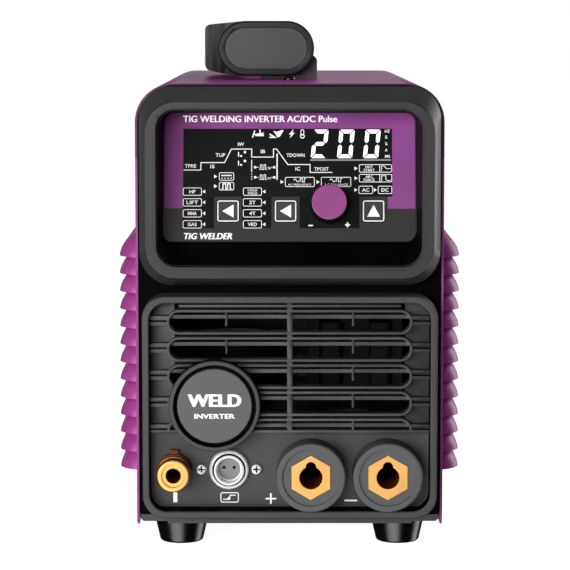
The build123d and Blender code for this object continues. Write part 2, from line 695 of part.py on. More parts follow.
def handle_pin(head, tip):
    """Pivot pin whose head is at one depth and tip at another."""
    step = 1 if tip > head else -1
    near, far = sorted((head, tip))
    pin = rod(PIVOT_X, PIVOT_Z, PIN_RADIUS, near, far)
    near, far = sorted((head, head + 2.6 * step))
    return pin + rod(PIVOT_X, PIVOT_Z, 6.2, near, far)


# ---------------------------------------------------------------- rear

def rear_panel():
    sheet = hood(INNER_HALF, FLOOR, INNER_TOP, INNER_CORNER)
    hollow = hood(INNER_HALF - 1.8, FLOOR + 1.8, INNER_TOP - 1.8, INNER_CORNER - 1.8)
    panel = prism(sheet, REAR_WALL, REAR_FACE) + prism(sheet - hollow, 400, REAR_WALL)
    panel = panel - rod(0, FAN_Z, 55.5, 400, 420)
    switch_hole = Pos(SWITCH_X, SWITCH_Z) * Rectangle(22.4, 30.4)
    panel = panel - prism(switch_hole, 405, 420)
    panel = panel - rod(GLAND_X, GLAND_Z, 10.1, 405, 420)
    panel = panel - rod(GAS_X, GAS_Z, 8.1, 405, 420)
    panel = panel - rod(0, 38, 3.1, 405, 420)
    for row in range(6):
        z = 210 + 8 * row
        panel = panel - prism(Pos(-36, z) * SlotOverall(76, 3.4), 405, 420)
    for x in (-52.5, 52.5):
        for z in (FAN_Z - 52.5, FAN_Z + 52.5):
            panel = panel - rod(x, z, 2.0, 405, 420)
    for x in (-79, 79):
        for z in (36, 250):
            panel = panel - rod(x, z, 2.0, 405, 420)
    return panel


def fan_guard():
    near = REAR_FACE
    guard = []
    for radius in (14, 24, 34, 44, 54):
        ring = Pos(0, FAN_Z) * (Circle(radius + 1.0) - Circle(radius - 1.0))
        guard.append(prism(ring, near + 1.6, near + 3.6))
    bar = Rectangle(2.0, 148.5)
    for turn in (45, 135):
        guard.append(prism(Pos(0, FAN_Z) * Rot(0, 0, turn) * bar, near, near + 1.8))
    for x in (-52.5, 52.5):
        for z in (FAN_Z - 52.5, FAN_Z + 52.5):
            guard.append(rod(x, z, 4.6, near, near + 1.8) - rod(x, z, 2.2, near - 1, near + 3))
    body = Part() + guard
    holes = []
    for x in (-52.5, 52.5):
        for z in (FAN_Z - 52.5, FAN_Z + 52.5):
            holes.append(rod(x, z, 2.2, near - 1, near + 3))
    return body - holes


def fan_frame():
    far = REAR_WALL
    near = far - FAN_DEPTH
    outline = Pos(0, FAN_Z) * RectangleRounded(2 * FAN_HALF, 2 * FAN_HALF, 6)
    frame = prism(outline, near, far) - rod(0, FAN_Z, 56.5, near - 1, far + 1)
    frame = frame + rod(0, FAN_Z, 18, far - 4, far)
    for angle in (0, 90, 180, 270):
        strut = Pos(0, FAN_Z) * Rot(0, 0, angle) * Pos(38, 0) * Rectangle(42, 4)
        frame = frame + prism(strut, far - 4, far)
    frame = frame + rod(0, FAN_Z, 5, far - 12, far - 4)
    frame = frame - rod(0, FAN_Z, 1.5 + RUNNING, far - 13, far - 1)
    for x in (-52.5, 52.5):
        for z in (FAN_Z - 52.5, FAN_Z + 52.5):
            frame = frame - rod(x, z, 2.0, near - 1, far + 1)
    return frame


def fan_rotor():
    far = REAR_WALL
    near = far - FAN_DEPTH + 2
    hub = rod(0, FAN_Z, 19.5, near, far - 5) - rod(0, FAN_Z, 17.5, near + 2, far)
    hub = hub + rod(0, FAN_Z, 1.5, near + 1, far - 2)
    middle = (near + far - 5) / 2
    blades = []
    for turn in range(0, 360, 51):
        if turn < 357:
            blade = Rot(35, 0, 0) * Box(36, 1.8, 20)
            blade = Pos(0, FRONT_Y + middle, FAN_Z) * Rot(0, turn, 0) * Pos(36, 0, 0) * blade
            blades.append(blade)
    limit = prism(Pos(0, FAN_Z) * (Circle(54.5) - Circle(18.5)), near, far - 5)
    swept = (Part() + blades) & limit
    return hub + swept


def switch_body():
    half_x = 11.0
    half_z = 15.0
    outline = Pos(SWITCH_X, SWITCH_Z) * Rectangle(2 * half_x, 2 * half_z)
    flange = Pos(SWITCH_X, SWITCH_Z) * RectangleRounded(2 * half_x + 4, 2 * half_z + 4, 2)
    cavity = Pos(SWITCH_X, SWITCH_Z) * Rectangle(2 * half_x - 4, 2 * half_z - 4)
    body = prism(outline, 388, REAR_FACE) + prism(flange, REAR_FACE, REAR_FACE + 2)
    body = body - prism(cavity, 400, 420)
    for x in (SWITCH_X - 5, SWITCH_X + 5):
        body = body + block((x - 3, x + 3), (378, 388), (SWITCH_Z - 0.4, SWITCH_Z + 0.4))
    axle = Rot(0, 90, 0) * Cylinder(1.5 + RUNNING, 2 * half_x - 1)
    return body - Pos(SWITCH_X, FRONT_Y + ROCKER_PIVOT, SWITCH_Z) * axle


def switch_rocker():
    """Rocker tipped about its cross axle so that its upper half is pushed in."""
    profile = Polygon(
        (5.4, 11.5), (4.2, 0), (5.4, -11.5), (-2.5, -7), (-3.5, 0), (-2.5, 7),
        align=None,
    )
    plane = Plane(origin=(0, 0, 0), x_dir=(0, 1, 0), z_dir=(1, 0, 0))
    rocker = extrude(plane * profile, amount=8.6, both=True)
    rocker = rocker + Rot(0, 90, 0) * Cylinder(1.5, 20)
    pivot = Pos(SWITCH_X, FRONT_Y + ROCKER_PIVOT, SWITCH_Z)
    return pivot * Rot(ROCKER_THROW / 2, 0, 0) * rocker


def cable_gland():
    centre = Pos(GLAND_X, GLAND_Z)
    gland = rod(GLAND_X, GLAND_Z, 10.0, 400, REAR_FACE)
    gland = gland + prism(centre * hexagon(27), REAR_FACE, REAR_FACE + 6)
    gland = gland + prism(centre * (hexagon(27) - Circle(10.0)), REAR_WALL - 6, REAR_WALL)
    dome = prism(centre * hexagon(24), REAR_FACE + 6, REAR_FACE + 16)
    dome = dome + rod(GLAND_X, GLAND_Z, 10.5, REAR_FACE + 16, 439)
    dome = fillet(dome.faces().sort_by(Axis.Y)[-1].edges(), 3.0)
    return gland + dome - rod(GLAND_X, GLAND_Z, GLAND_BORE, 399, 440)


def gas_inlet():
    centre = Pos(GAS_X, GAS_Z)
    inlet = rod(GAS_X, GAS_Z, 8.0, 404, REAR_FACE)
    inlet = inlet + prism(centre * hexagon(22), REAR_FACE, REAR_FACE + 8)
    inlet = inlet + prism(centre * (hexagon(22) - Circle(8.0)), REAR_WALL - 5, REAR_WALL)
    inlet = inlet + rod(GAS_X, GAS_Z, 6.58, REAR_FACE + 8, TAIL_DEPTH)
    inlet = inlet + rod(GAS_X, GAS_Z, 4.0, 392, 404)
    return inlet - rod(GAS_X, GAS_Z, 2.5, 391, TAIL_DEPTH + 1)


def earth_stud():
    stud = rod(0, 38, 3.0, 402, 436)
    for near in (REAR_WALL - 4.5, REAR_FACE):
        stud = stud + prism(Pos(0, 38) * hexagon(10), near, near + 4.5)
    return stud


# ---------------------------------------------------------------- inside

def heatsinks():
    sinks = []
    for side in (-1, 1):
        x = sorted((side * 8, side * 54))
        sink = block(x, (130, 350), (60, 66))
        for fin in range(8):
            near = x[0] + 1 + fin * 5.8
            sink = sink + block((near, near + 2.6), (130, 350), (FLOOR, 60))
        sinks.append(sink)
    return Compound(children=[sink.solid() for sink in sinks])


def power_board():
    board = block((-78, 78), (120, 360), (66, 67.6))
    for x, depth, wide, long in ((-60, 160, 18, 26), (62, 250, 14, 40), (0, 275, 40, 20)):
        across = (x - wide / 2, x + wide / 2)
        board = board + block(across, (depth - long / 2, depth + long / 2), (67.6, 82))
    return board


def bus_capacitors():
    cans = []
    for x in (-54, -18, 18, 54):
        can = post(x, 325, 17.6, 67.6, 112.6)
        can = fillet(can.edges().sort_by(Axis.Z)[-1], 2.0)
        cans.append(can - post(x, 325, 15.0, 111.8, 113))
    return Compound(children=[can.solid() for can in cans])


def main_transformer():
    core = block((12, 72), (165, 215), (67.6, 127.6))
    for x in ((19, 33), (51, 65)):
        core = core - block(x, (160, 220), (77, 118))
    winding = block((20, 64), (155, 225), (78, 117)) - block((33.2, 50.8), (150, 230), (60, 130))
    return core + fillet(winding.edges().filter_by(Axis.Z), 3.0)


def output_choke():
    ring = post(-38, 215, 33, 67.6, 103) - post(-38, 215, 14, 60, 110)
    return fillet(ring.edges().filter_by(GeomType.CIRCLE), 5.0)


def output_busbars():
    bars = []
    for x in SOCKET_X.values():
        outline = block((x - 8, x + 8), (42, 45), (SOCKET_Z - 8, SOCKET_Z + 26))
        outline = outline + block((x - 8, x + 8), (45, 128), (SOCKET_Z + 23, SOCKET_Z + 26))
        bars.append(outline - rod(x, SOCKET_Z, 5.1, 38, 50))
    return Compound(children=[bar.solid() for bar in bars])


def gas_valve():
    valve = block((GAS_X - 12, GAS_X + 12), (62, 100), (GAS_Z - 12, GAS_Z + 14))
    coil = post(GAS_X, 81, 13.0, GAS_Z + 14, GAS_Z + 52)
    valve = valve + coil + post(GAS_X, 81, 5.0, GAS_Z + 52, GAS_Z + 56)
    valve = valve + rod(GAS_X, GAS_Z, 4.0, 54, 108)
    return valve - rod(GAS_X, GAS_Z, 2.5, 53, 109)


def gas_hoses():
    hoses = []
    for near, far in ((40, 61), (101, 398)):
        hoses.append(prism(Pos(GAS_X, GAS_Z) * (Circle(6.0) - Circle(4.0)), near, far))
    return Compound(children=[hose.solid() for hose in hoses])


# ---------------------------------------------------------------- screws of the case

def cover_screw_places():
    """Seat of each cover screw: on the surface, with local +Z pointing outwards."""
    places = [Pos(0, FRONT_Y + 110, CASE_TOP)]
    for depth in (200, 390):
        places.append(Pos(CASE_HALF, FRONT_Y + depth, 26) * Rot(0, 90, 0))
        places.append(Pos(-CASE_HALF, FRONT_Y + depth, 26) * Rot(0, -90, 0))
    return places


def case_screws():
    """Identical pan-head screws of the cover, the fan guard and the rear panel."""
    places = cover_screw_places()
    out = Rot(-90, 0, 0)
    for x in (-52.5, 52.5):
        for z in (FAN_Z - 52.5, FAN_Z + 52.5):
            places.append(Pos(x, FRONT_Y + REAR_FACE + 1.8, z) * out)
    for x in (-79, 79):
        for z in (36, 250):
            places.append(Pos(x, FRONT_Y + REAR_FACE, z) * out)
    screws = []
    for place in places:
        head = Pos(0, 0, 1.1) * Cylinder(3.55, 2.2)
        head = fillet(head.edges().sort_by(Axis.Z)[-1], 1.4)
        screw = head + Pos(0, 0, -4) * Cylinder(1.9, 8)
        cross = Pos(0, 0, 2.0) * (Box(4.2, 0.9, 1.6) + Box(0.9, 4.2, 1.6))
        screws.append(place * (screw - cross))
    return Compound(children=[screw.solid() for screw in screws])


def all_parts():
    parts = {
        "base_plate": base_plate(),
        "top_cover": top_cover(),
        "side_vent_right": side_vent(),
        "front_fascia": front_fascia(),
        "display_bezel": display_bezel(),
        "front_grille": front_grille(),
        "connector_plate": connector_plate(),
        "badge_ring": badge_ring(),
        "badge_disc": badge_disc(),
        "control_overlay": control_overlay(),
        "lcd_window": lcd_window(),
        "lcd_module": lcd_module(),
        "control_board": control_board(),
        "encoder_body": encoder_body(),
        "encoder_rotor": encoder_rotor(),
        "encoder_shaft": encoder_shaft(),
        "control_knob": control_knob(),
        "knob_cap": knob_cap(),
        "socket_nuts": socket_nuts(),
        "torch_socket_shell": torch_socket_shell(),
        "torch_socket_insert": torch_socket_insert(),
        "torch_socket_screws": torch_socket_screws(),
        "gas_outlet_body": gas_outlet_body(),
        "gas_outlet_sleeve": gas_outlet_sleeve(),
        "gas_outlet_nut": gas_outlet_nut(),
        "foot_screws": foot_screws(),
        "handle_grip": handle_grip(),
        "handle_caps": handle_caps(),
        "rear_panel": rear_panel(),
        "fan_guard": fan_guard(),
        "fan_frame": fan_frame(),
        "fan_rotor": fan_rotor(),
        "switch_body": switch_body(),
        "switch_rocker": switch_rocker(),
        "cable_gland": cable_gland(),
        "gas_inlet": gas_inlet(),
        "earth_stud": earth_stud(),
        "heatsinks": heatsinks(),
        "power_board": power_board(),
        "bus_capacitors": bus_capacitors(),
        "main_transformer": main_transformer(),
        "output_choke": output_choke(),
        "output_busbars": output_busbars(),
        "gas_valve": gas_valve(),
        "gas_hoses": gas_hoses(),
        "case_screws": case_screws(),
    }
    parts["side_vent_left"] = mirrored(parts["side_vent_right"])
    for name, x in KEY_X.items():
        parts[name] = key(x)
    for pole, x in SOCKET_X.items():
        parts[pole + "_socket_housing"] = socket_housing(x)
        parts[pole + "_socket_contact"] = socket_contact(x)
    for end, depth in FOOT_DEPTHS.items():
        parts["foot_" + end + "_left"] = foot(-FOOT_X, depth)
        parts["foot_" + end + "_right"] = foot(FOOT_X, depth)
    near, far = bracket_depths()
    brackets = [handle_bracket(near).solid(), handle_bracket(far).solid()]
    parts["handle_brackets"] = Compound(children=brackets)
    pins = [handle_pin(ARM_NEAR + 2.0, near + 18).solid(), handle_pin(ARM_FAR - 2.0, far).solid()]
    parts["handle_pins"] = Compound(children=pins)
    return parts


os.makedirs("parts", exist_ok=True)
for node, shape in all_parts().items():
    export_step(shape, "parts/" + node + ".step")
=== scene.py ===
import bmesh
import bpy
import json
import math
from mathutils import Matrix, Vector

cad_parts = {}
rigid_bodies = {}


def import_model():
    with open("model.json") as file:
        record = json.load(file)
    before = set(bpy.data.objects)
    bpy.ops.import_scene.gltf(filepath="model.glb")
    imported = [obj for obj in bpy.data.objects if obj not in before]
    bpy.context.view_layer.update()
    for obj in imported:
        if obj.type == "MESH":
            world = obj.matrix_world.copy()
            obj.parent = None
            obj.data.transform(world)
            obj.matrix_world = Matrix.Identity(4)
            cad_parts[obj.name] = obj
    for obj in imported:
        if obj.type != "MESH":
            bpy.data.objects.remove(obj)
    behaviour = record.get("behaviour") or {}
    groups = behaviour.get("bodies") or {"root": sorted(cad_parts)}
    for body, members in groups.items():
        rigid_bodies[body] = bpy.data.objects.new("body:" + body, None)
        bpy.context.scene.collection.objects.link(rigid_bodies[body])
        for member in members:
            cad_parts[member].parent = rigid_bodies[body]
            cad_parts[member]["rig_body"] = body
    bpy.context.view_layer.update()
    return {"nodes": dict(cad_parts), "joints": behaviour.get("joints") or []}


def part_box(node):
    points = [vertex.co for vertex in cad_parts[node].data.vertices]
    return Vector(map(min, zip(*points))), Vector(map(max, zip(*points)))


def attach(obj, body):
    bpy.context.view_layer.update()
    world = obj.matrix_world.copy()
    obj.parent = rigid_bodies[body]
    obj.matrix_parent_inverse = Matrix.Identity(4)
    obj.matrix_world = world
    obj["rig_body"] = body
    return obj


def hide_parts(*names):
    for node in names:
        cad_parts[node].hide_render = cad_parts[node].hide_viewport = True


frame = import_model()

MM = 0.001
nodes = frame["nodes"]
joints = {joint["name"]: joint for joint in frame["joints"]}
FRONT_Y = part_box("front_fascia")[0].y  # the front plane, the rim round the connectors


# ---- small mesh tools
# Lengths are in millimetres and angles in degrees, up to the MM and math.radians that hand them to Blender.

def middle_of(node):
    """Middle of a CAD node's box, in millimetres."""
    low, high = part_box(node)
    return (low + high) / 2 / MM


def mesh_piece(name, mesh_data, material, body="chassis"):
    mesh = bpy.data.meshes.new(name)
    mesh_data.to_mesh(mesh)
    mesh_data.free()
    piece = bpy.data.objects.new(name, mesh)
    mesh.materials.append(material)
    bpy.context.scene.collection.objects.link(piece)
    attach(piece, body)
    return piece


def smooth(piece, angle=35.0):
    for face in piece.data.polygons:
        face.use_smooth = True
    piece.data.set_sharp_from_angle(angle=math.radians(angle))


def round_edges(piece, width, angle, harden=False):
    """Small rounding of the edges that are sharper than an angle."""
    bevel = piece.modifiers.new("edge", "BEVEL")
    bevel.width = width * MM
    bevel.segments = 2
    bevel.limit_method = "ANGLE"
    bevel.angle_limit = math.radians(angle)
    bevel.harden_normals = harden


def finished(node, material, edge):
    """A copy of a CAD node with clean flats and rounded edges, which stands for it."""
    same_point, same_plane, most_corners = 0.002, math.radians(0.6), 4
    source = nodes[node]
    work = bmesh.new()
    work.from_mesh(source.data)
    bmesh.ops.remove_doubles(work, verts=work.verts, dist=same_point * MM)
    if node != "front_grille":  # the pierced grille keeps its triangles
        bmesh.ops.dissolve_limit(work, angle_limit=same_plane, verts=work.verts, edges=work.edges)
    piece = mesh_piece(node + "_finished", work, material, source["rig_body"])
    for face in piece.data.polygons:
        face.use_smooth = len(face.vertices) <= most_corners
    round_edges(piece, edge, 28.0, harden=True)
    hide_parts(node)
    return piece


def join_loops(work, loops):
    """Closed skin through loops with the same number of points; the last loop joins the first."""
    for first, second in zip(loops, loops[1:] + loops[:1]):
        for i in range(len(first)):
            j = (i + 1) % len(first)
            work.faces.new((first[i], first[j], second[j], second[i]))


def band(name, lines, material, angle):
    """Closed band through lines with the same number of points."""
    work = bmesh.new()
    join_loops(work, [[work.verts.new(Vector(point) * MM) for point in line] for line in lines])
    bmesh.ops.recalc_face_normals(work, faces=work.faces)
    smooth(mesh_piece(name, work, material), angle)


def corner_points(left, low, right, high, radius, steps=5):
    """Rectangle with rounded corners, anticlockwise."""
    points = []
    centres = ((right - radius, low + radius, -90), (right - radius, high - radius, 0),
               (left + radius, high - radius, 90), (left + radius, low + radius, 180))
    for u, v, start in centres:
        for i in range(steps + 1):
            angle = math.radians(start + 90 * i / steps)
            points.append((u + radius * math.cos(angle), v + radius * math.sin(angle)))
    return points


def cut_line(piece, place, way):
    """An extra edge line round a piece at one plane, so that the faces on either side can differ."""
    snap = 0.0005
    work = bmesh.new()
    work.from_mesh(piece.data)
    geometry = work.verts[:] + work.edges[:] + work.faces[:]
    bmesh.ops.bisect_plane(work, geom=geometry, dist=snap * MM, plane_co=Vector(place) * MM, plane_no=way)
    work.to_mesh(piece.data)
    work.free()


def tint(piece, material, test):
    """Another material for the faces that pass a test; in this script mostly painted shade or painted light.

    The test is given a face's centre, as x, depth behind the front and height, and its normal.
    """
    mesh = piece.data
    mesh.materials.append(material)
    index = len(mesh.materials) - 1
    for face in mesh.polygons:
        x, y, z = face.center / MM
        if test(x, y - FRONT_Y / MM, z, face.normal):
            face.material_index = index


def outward(x, z, normal, middle_x, middle_z):
    """Above zero where a face turns away from a middle, below zero where it turns towards it."""
    return (x - middle_x) * normal.x + (z - middle_z) * normal.z


# ---- materials

def linear(red, green, blue):
    """Linear colour from 0-255 display values."""
    def channel(value):
        value = value / 255
        return value / 12.92 if value <= 0.04045 else ((value + 0.055) / 1.055) ** 2.4
    return (channel(red), channel(green), channel(blue), 1.0)


def surface(name, colour, roughness, metallic=0.0, grain=0.0, grain_scale=1600.0, mottle=0.06,
            rough_spread=0.06, specular=0.5, emission=0.0):
    """Procedural finish: mottled colour, uneven roughness and fine grain in the bump."""
    cloud_scale, grain_height = 45.0, 0.1
    material = bpy.data.materials.new(name)
    material.use_nodes = True
    tree = material.node_tree
    shader = tree.nodes["Principled BSDF"]
    shader.inputs["Metallic"].default_value = metallic
    shader.inputs["Specular IOR Level"].default_value = specular
    place = tree.nodes.new("ShaderNodeTexCoord")
    cloud = tree.nodes.new("ShaderNodeTexNoise")
    cloud.inputs["Scale"].default_value = cloud_scale
    cloud.inputs["Detail"].default_value = 6.0
    tree.links.new(place.outputs["Object"], cloud.inputs["Vector"])
    ramp = tree.nodes.new("ShaderNodeValToRGB")
    ramp.color_ramp.elements[0].position = 0.3
    ramp.color_ramp.elements[1].position = 0.7
    base = linear(*colour)
    ramp.color_ramp.elements[0].color = [c * (1 - mottle) for c in base[:3]] + [1]
    ramp.color_ramp.elements[1].color = [min(1, c * (1 + mottle)) for c in base[:3]] + [1]
    tree.links.new(cloud.outputs["Fac"], ramp.inputs["Fac"])
    tree.links.new(ramp.outputs["Color"], shader.inputs["Base Color"])
    spread = tree.nodes.new("ShaderNodeMapRange")
    spread.inputs["To Min"].default_value = roughness - rough_spread
    spread.inputs["To Max"].default_value = roughness + rough_spread
    tree.links.new(cloud.outputs["Fac"], spread.inputs["Value"])
    tree.links.new(spread.outputs["Result"], shader.inputs["Roughness"])
    if grain:
        fine = tree.nodes.new("ShaderNodeTexNoise")
        fine.inputs["Scale"].default_value = grain_scale
        fine.inputs["Detail"].default_value = 2.0
        tree.links.new(place.outputs["Object"], fine.inputs["Vector"])
        bump = tree.nodes.new("ShaderNodeBump")
        bump.inputs["Strength"].default_value = grain
        bump.inputs["Distance"].default_value = grain_height * MM
        tree.links.new(fine.outputs["Fac"], bump.inputs["Height"])
        tree.links.new(bump.outputs["Normal"], shader.inputs["Normal"])
    if emission:
        shader.inputs["Emission Color"].default_value = base
        shader.inputs["Emission Strength"].default_value = emission
    return material


PURPLE_PAINT = surface("purple_powder_coat", (214, 78, 188), 0.36, grain=0.25, grain_scale=1100, specular=0.2)
# Painted light and painted shade: lit and shaded copies of the purple for the cover's cut edge.
PURPLE_EDGE_PAINTED_LIT = surface("purple_edge_painted_lit", (158, 76, 140), 0.4, grain=0.2, specular=0.3)
PURPLE_EDGE_PAINTED_SHADE = surface("purple_edge_painted_shade", (108, 40, 96), 0.4, grain=0.2, specular=0.3)
# Painted shade for the slope round the display opening.
BEZEL_MOUTH_PAINTED_SHADE = surface("bezel_mouth", (26, 26, 26), 0.45, grain=0.2, specular=0.25)
PURPLE_PLASTIC = surface("purple_moulding", (180, 70, 158), 0.42, grain=0.1, specular=0.5)
PURPLE_PRINT = surface("purple_print", (158, 77, 156), 0.42, grain=0.05, specular=0.3)
PURPLE_CAP = surface("purple_cap", (170, 76, 148), 0.38, grain=0.08)
CASE_BLACK = surface("grained_black", (65, 65, 65), 0.5, grain=0.35)
# Painted shade: near black for walls and plates set back behind the front.
PAINTED_SHADE_BLACK = surface("painted_shadow_black", (5, 5, 5), 0.6, grain=0.3, specular=0.03)
# Painted light: lighter copy of the bezel black for its outer slopes.
BEZEL_SIDE_PAINTED_LIGHT = surface("bezel_side_painted_light", (66, 66, 66), 0.42, grain=0.25, specular=0.4)
BEZEL_BLACK = surface("bezel_black", (46, 46, 46), 0.42, grain=0.25, specular=0.4)
# Painted shade, near black, in gaps, grooves and cross recesses.
PAINTED_GAP_SHADE = surface("painted_gap_shade", (8, 8, 8), 0.6, specular=0.1)
# Painted shade for the walls of the display recess.
RECESS_PAINTED_SHADE = surface("recess_painted_shade", (8, 7, 8), 0.45, grain=0.05, specular=0.06)
BADGE_GREY = surface("badge_grey", (100, 97, 97), 0.5, grain=0.3)
REAR_PAINT = surface("rear_black_paint", (52, 52, 53), 0.5, grain=0.4, grain_scale=900)
SHEET_STEEL = surface("zinc_sheet", (150, 150, 152), 0.35, metallic=1.0)
HANDLE_BLACK = surface("handle_black", (40, 40, 41), 0.45, grain=0.3, specular=0.3)
BRACKET_BLACK = surface("bracket_black", (88, 87, 88), 0.42, grain=0.3, specular=0.4)
BLACKENED = surface("blackened_screw", (70, 68, 70), 0.16, metallic=1.0)
# Painted shade: near-black copy of the handle black for the grip's sides.
HANDLE_SIDE_PAINTED_SHADE = surface("handle_side_painted_shade", (7, 7, 8), 0.4, grain=0.3, specular=0.25)
INLAY_BLACK = surface("inlay_black", (53, 53, 53), 0.36, grain=0.3)
OVERLAY_GREY = surface("overlay_grey", (56, 53, 51), 0.45, grain=0.05, specular=0.3)
PRINT_BLACK = surface("print_black", (9, 9, 10), 0.35, grain=0.03, specular=0.15)
WINDOW_BLACK = surface("smoked_window", (24, 24, 25), 0.3, mottle=0.02, rough_spread=0.02, specular=0.15)
KEY_BLACK = surface("key_black", (60, 57, 56), 0.4, grain=0.1)
KNOB_BLACK = surface("knob_black", (9, 9, 10), 0.5, grain=0.15, specular=0.12)
SOCKET_BLACK = surface("socket_black", (90, 90, 90), 0.5, grain=0.3)
BRASS = surface("machined_brass", (248, 188, 107), 0.42, metallic=0.75, grain=0.05)
# Painted shade in bores and on the gas outlet's sides.
BORE_BRASS_PAINTED_SHADE = surface("bore_brass_painted_shade", (150, 74, 38), 0.45, metallic=0.7, specular=0.2)
BRASS_SIDE_PAINTED_SHADE = surface("brass_side_painted_shade", (112, 56, 30), 0.4, metallic=0.8, grain=0.05)
BORE_PAINTED_SHADE = surface("bore_painted_shade", (4, 3, 3), 0.7, specular=0.05)
CHROME = surface("chrome_plate", (196, 196, 199), 0.2, metallic=1.0)
SATIN_CHROME = surface("satin_chrome", (252, 252, 252), 0.3, metallic=0.1, mottle=0.03)
SCREW_STEEL = surface("screw_steel", (215, 215, 216), 0.38, metallic=0.7)
INSERT_GREY = surface("insert_grey", (132, 132, 134), 0.5, metallic=0.6)
RUBBER = surface("foot_rubber", (12, 12, 13), 0.26, grain=0.04, specular=0.55)
BOARD_GREEN = surface("board_green", (30, 80, 45), 0.4)
CAN_BLUE = surface("capacitor_sleeve", (14, 14, 18), 0.4)
ALUMINIUM = surface("extruded_aluminium", (170, 172, 175), 0.35, metallic=1.0)
FERRITE = surface("ferrite", (24, 22, 22), 0.7)
COPPER = surface("varnished_winding", (46, 26, 18), 0.5, metallic=0.3)
VALVE_GREY = surface("valve_grey", (60, 60, 66), 0.5)
# White print with a painted glow: it emits light, though it is no lamp.
WHITE_PRINT_PAINTED_GLOW = surface("white_print_painted_glow", (240, 240, 240), 0.4, mottle=0.02, emission=0.45)
LCD_WHITE = surface("lcd_white", (255, 255, 255), 0.4, mottle=0.01, emission=1.0)
LINE_GREY = surface("line_grey", (150, 150, 152), 0.4, mottle=0.02, emission=0.2)

# ---- CAD nodes: finishes

FINISHES = (  # finish, rounding of the edges, the CAD nodes that get it
    (PURPLE_PAINT, 0.45, "top_cover"),
    (CASE_BLACK, 0.3, "front_fascia"),
    (BEZEL_BLACK, 0.8, "display_bezel"),
    (CASE_BLACK, 0.3, "front_grille connector_plate"),
    (CASE_BLACK, 0.4, "badge_ring"),
    (BADGE_GREY, 0.4, "badge_disc"),
    (REAR_PAINT, 0.3, "rear_panel"),
    (CHROME, 0.5, "fan_guard"),
    (OVERLAY_GREY, 0.08, "control_overlay"),
    (WINDOW_BLACK, 0.05, "lcd_window"),
    (KEY_BLACK, 0.25, "key_left key_middle key_right"),
    (KNOB_BLACK, 0.2, "control_knob"),
    (PURPLE_CAP, 0.2, "knob_cap"),
    (SOCKET_BLACK, 0.3, "positive_socket_housing negative_socket_housing"),
    (BRASS, 0.3, "positive_socket_contact negative_socket_contact"),
    (BRASS, 0.25, "gas_outlet_body gas_outlet_sleeve"),
    (INSERT_GREY, 0.2, "torch_socket_insert"),
    (SCREW_STEEL, 0.12, "torch_socket_screws case_screws"),
    (RUBBER, 0.3, "foot_front_left foot_front_right foot_rear_left foot_rear_right"),
    (HANDLE_BLACK, 0.6, "handle_grip"),
    (INLAY_BLACK, 0.3, "handle_caps"),
    (BRACKET_BLACK, 0.5, "handle_brackets"),
    (CASE_BLACK, 0.3, "switch_body"),
    (KNOB_BLACK, 0.3, "switch_rocker"),
    (CASE_BLACK, 0.4, "cable_gland"),
    (BRASS, 0.3, "gas_inlet earth_stud"),
    (SHEET_STEEL, 0.2, "base_plate"),
    (CASE_BLACK, 0.4, "fan_frame"),
    (CASE_BLACK, 0.3, "fan_rotor"),
)
pieces = {node: finished(node, material, edge) for material, edge, group in FINISHES
          for node in group.split()}

# ---- CAD nodes: painted shade and painted light
# Sheltered walls, reveals and bores get painted shade, darker copies of the finish on the faces in front of
# them; a few faces get painted light, and the screws on top a blackened finish.

def tone_fascia():
    ledge = 20.8  # height of the lower rim's top
    wall = 19.4  # depth of the wall behind the rim
    half, low, high = 80.6, 26.0, 147.0  # the opening inside the rim
    fascia = pieces["front_fascia"]
    cut_line(fascia, (0, 0, ledge), (0, 0, 1))
    # Painted shade: near black on the wall behind the rim and on the walls of the opening inside the rim.
    tint(fascia, PAINTED_SHADE_BLACK, lambda x, d, z, n: d > wall and z > ledge)
    tint(fascia, PAINTED_SHADE_BLACK, lambda x, d, z, n: 1.0 < d < wall and abs(x) < half and low < z < high)


def tone_bezel():
    middle = 212  # height of the opening's middle
    half, low, high = 78, 165, 259  # the recess
    mouth = 1.5  # depth of the slope round the opening
    brow, shoulder = 269.7, 262  # painted shade: the hood is black above these, in front and further back
    bezel = pieces["display_bezel"]
    cut_line(bezel, (0, 0, brow), (0, 0, 1))

    def turned_out(x, z, n):
        return outward(x, z, n, 0, middle)

    def in_recess(x, z):
        return abs(x) < half and low < z < high
    # Painted light: the lighter copy on the outward-turned slopes of the bezel.
    tint(bezel, BEZEL_SIDE_PAINTED_LIGHT, lambda x, d, z, n: 1.0 < d < 9.9 and n.y < -0.2 and turned_out(x, z, n) > 1)
    # Painted shade on the walls of the recess.
    tint(bezel, RECESS_PAINTED_SHADE, lambda x, d, z, n: d > mouth and in_recess(x, z) and turned_out(x, z, n) < 1)
    # Painted shade on the slope of the mouth.
    tint(bezel, BEZEL_MOUTH_PAINTED_SHADE,
         lambda x, d, z, n: 0.02 < d <= mouth and n.y > -0.9 and turned_out(x, z, n) < -1)
    # Painted shade: black on the hood above the brow and on its rear faces.
    tint(bezel, PAINTED_GAP_SHADE, lambda x, d, z, n: z > brow or (d > 10.5 and abs(n.y) < 0.1 and z > shoulder))


def tone_grille():
    half = 66.3  # the slots reach this far from the middle
    slot_depth = 11.8
    grille = pieces["front_grille"]
    for side in (-half, half):
        cut_line(grille, (side, 0, 0), (1, 0, 0))
    # Painted shade: near black on the plate behind the slots and on the faces turned down.
    tint(grille, PAINTED_SHADE_BLACK, lambda x, d, z, n: (d > slot_depth or n.z < -0.7) and abs(x) < half - 0.1)


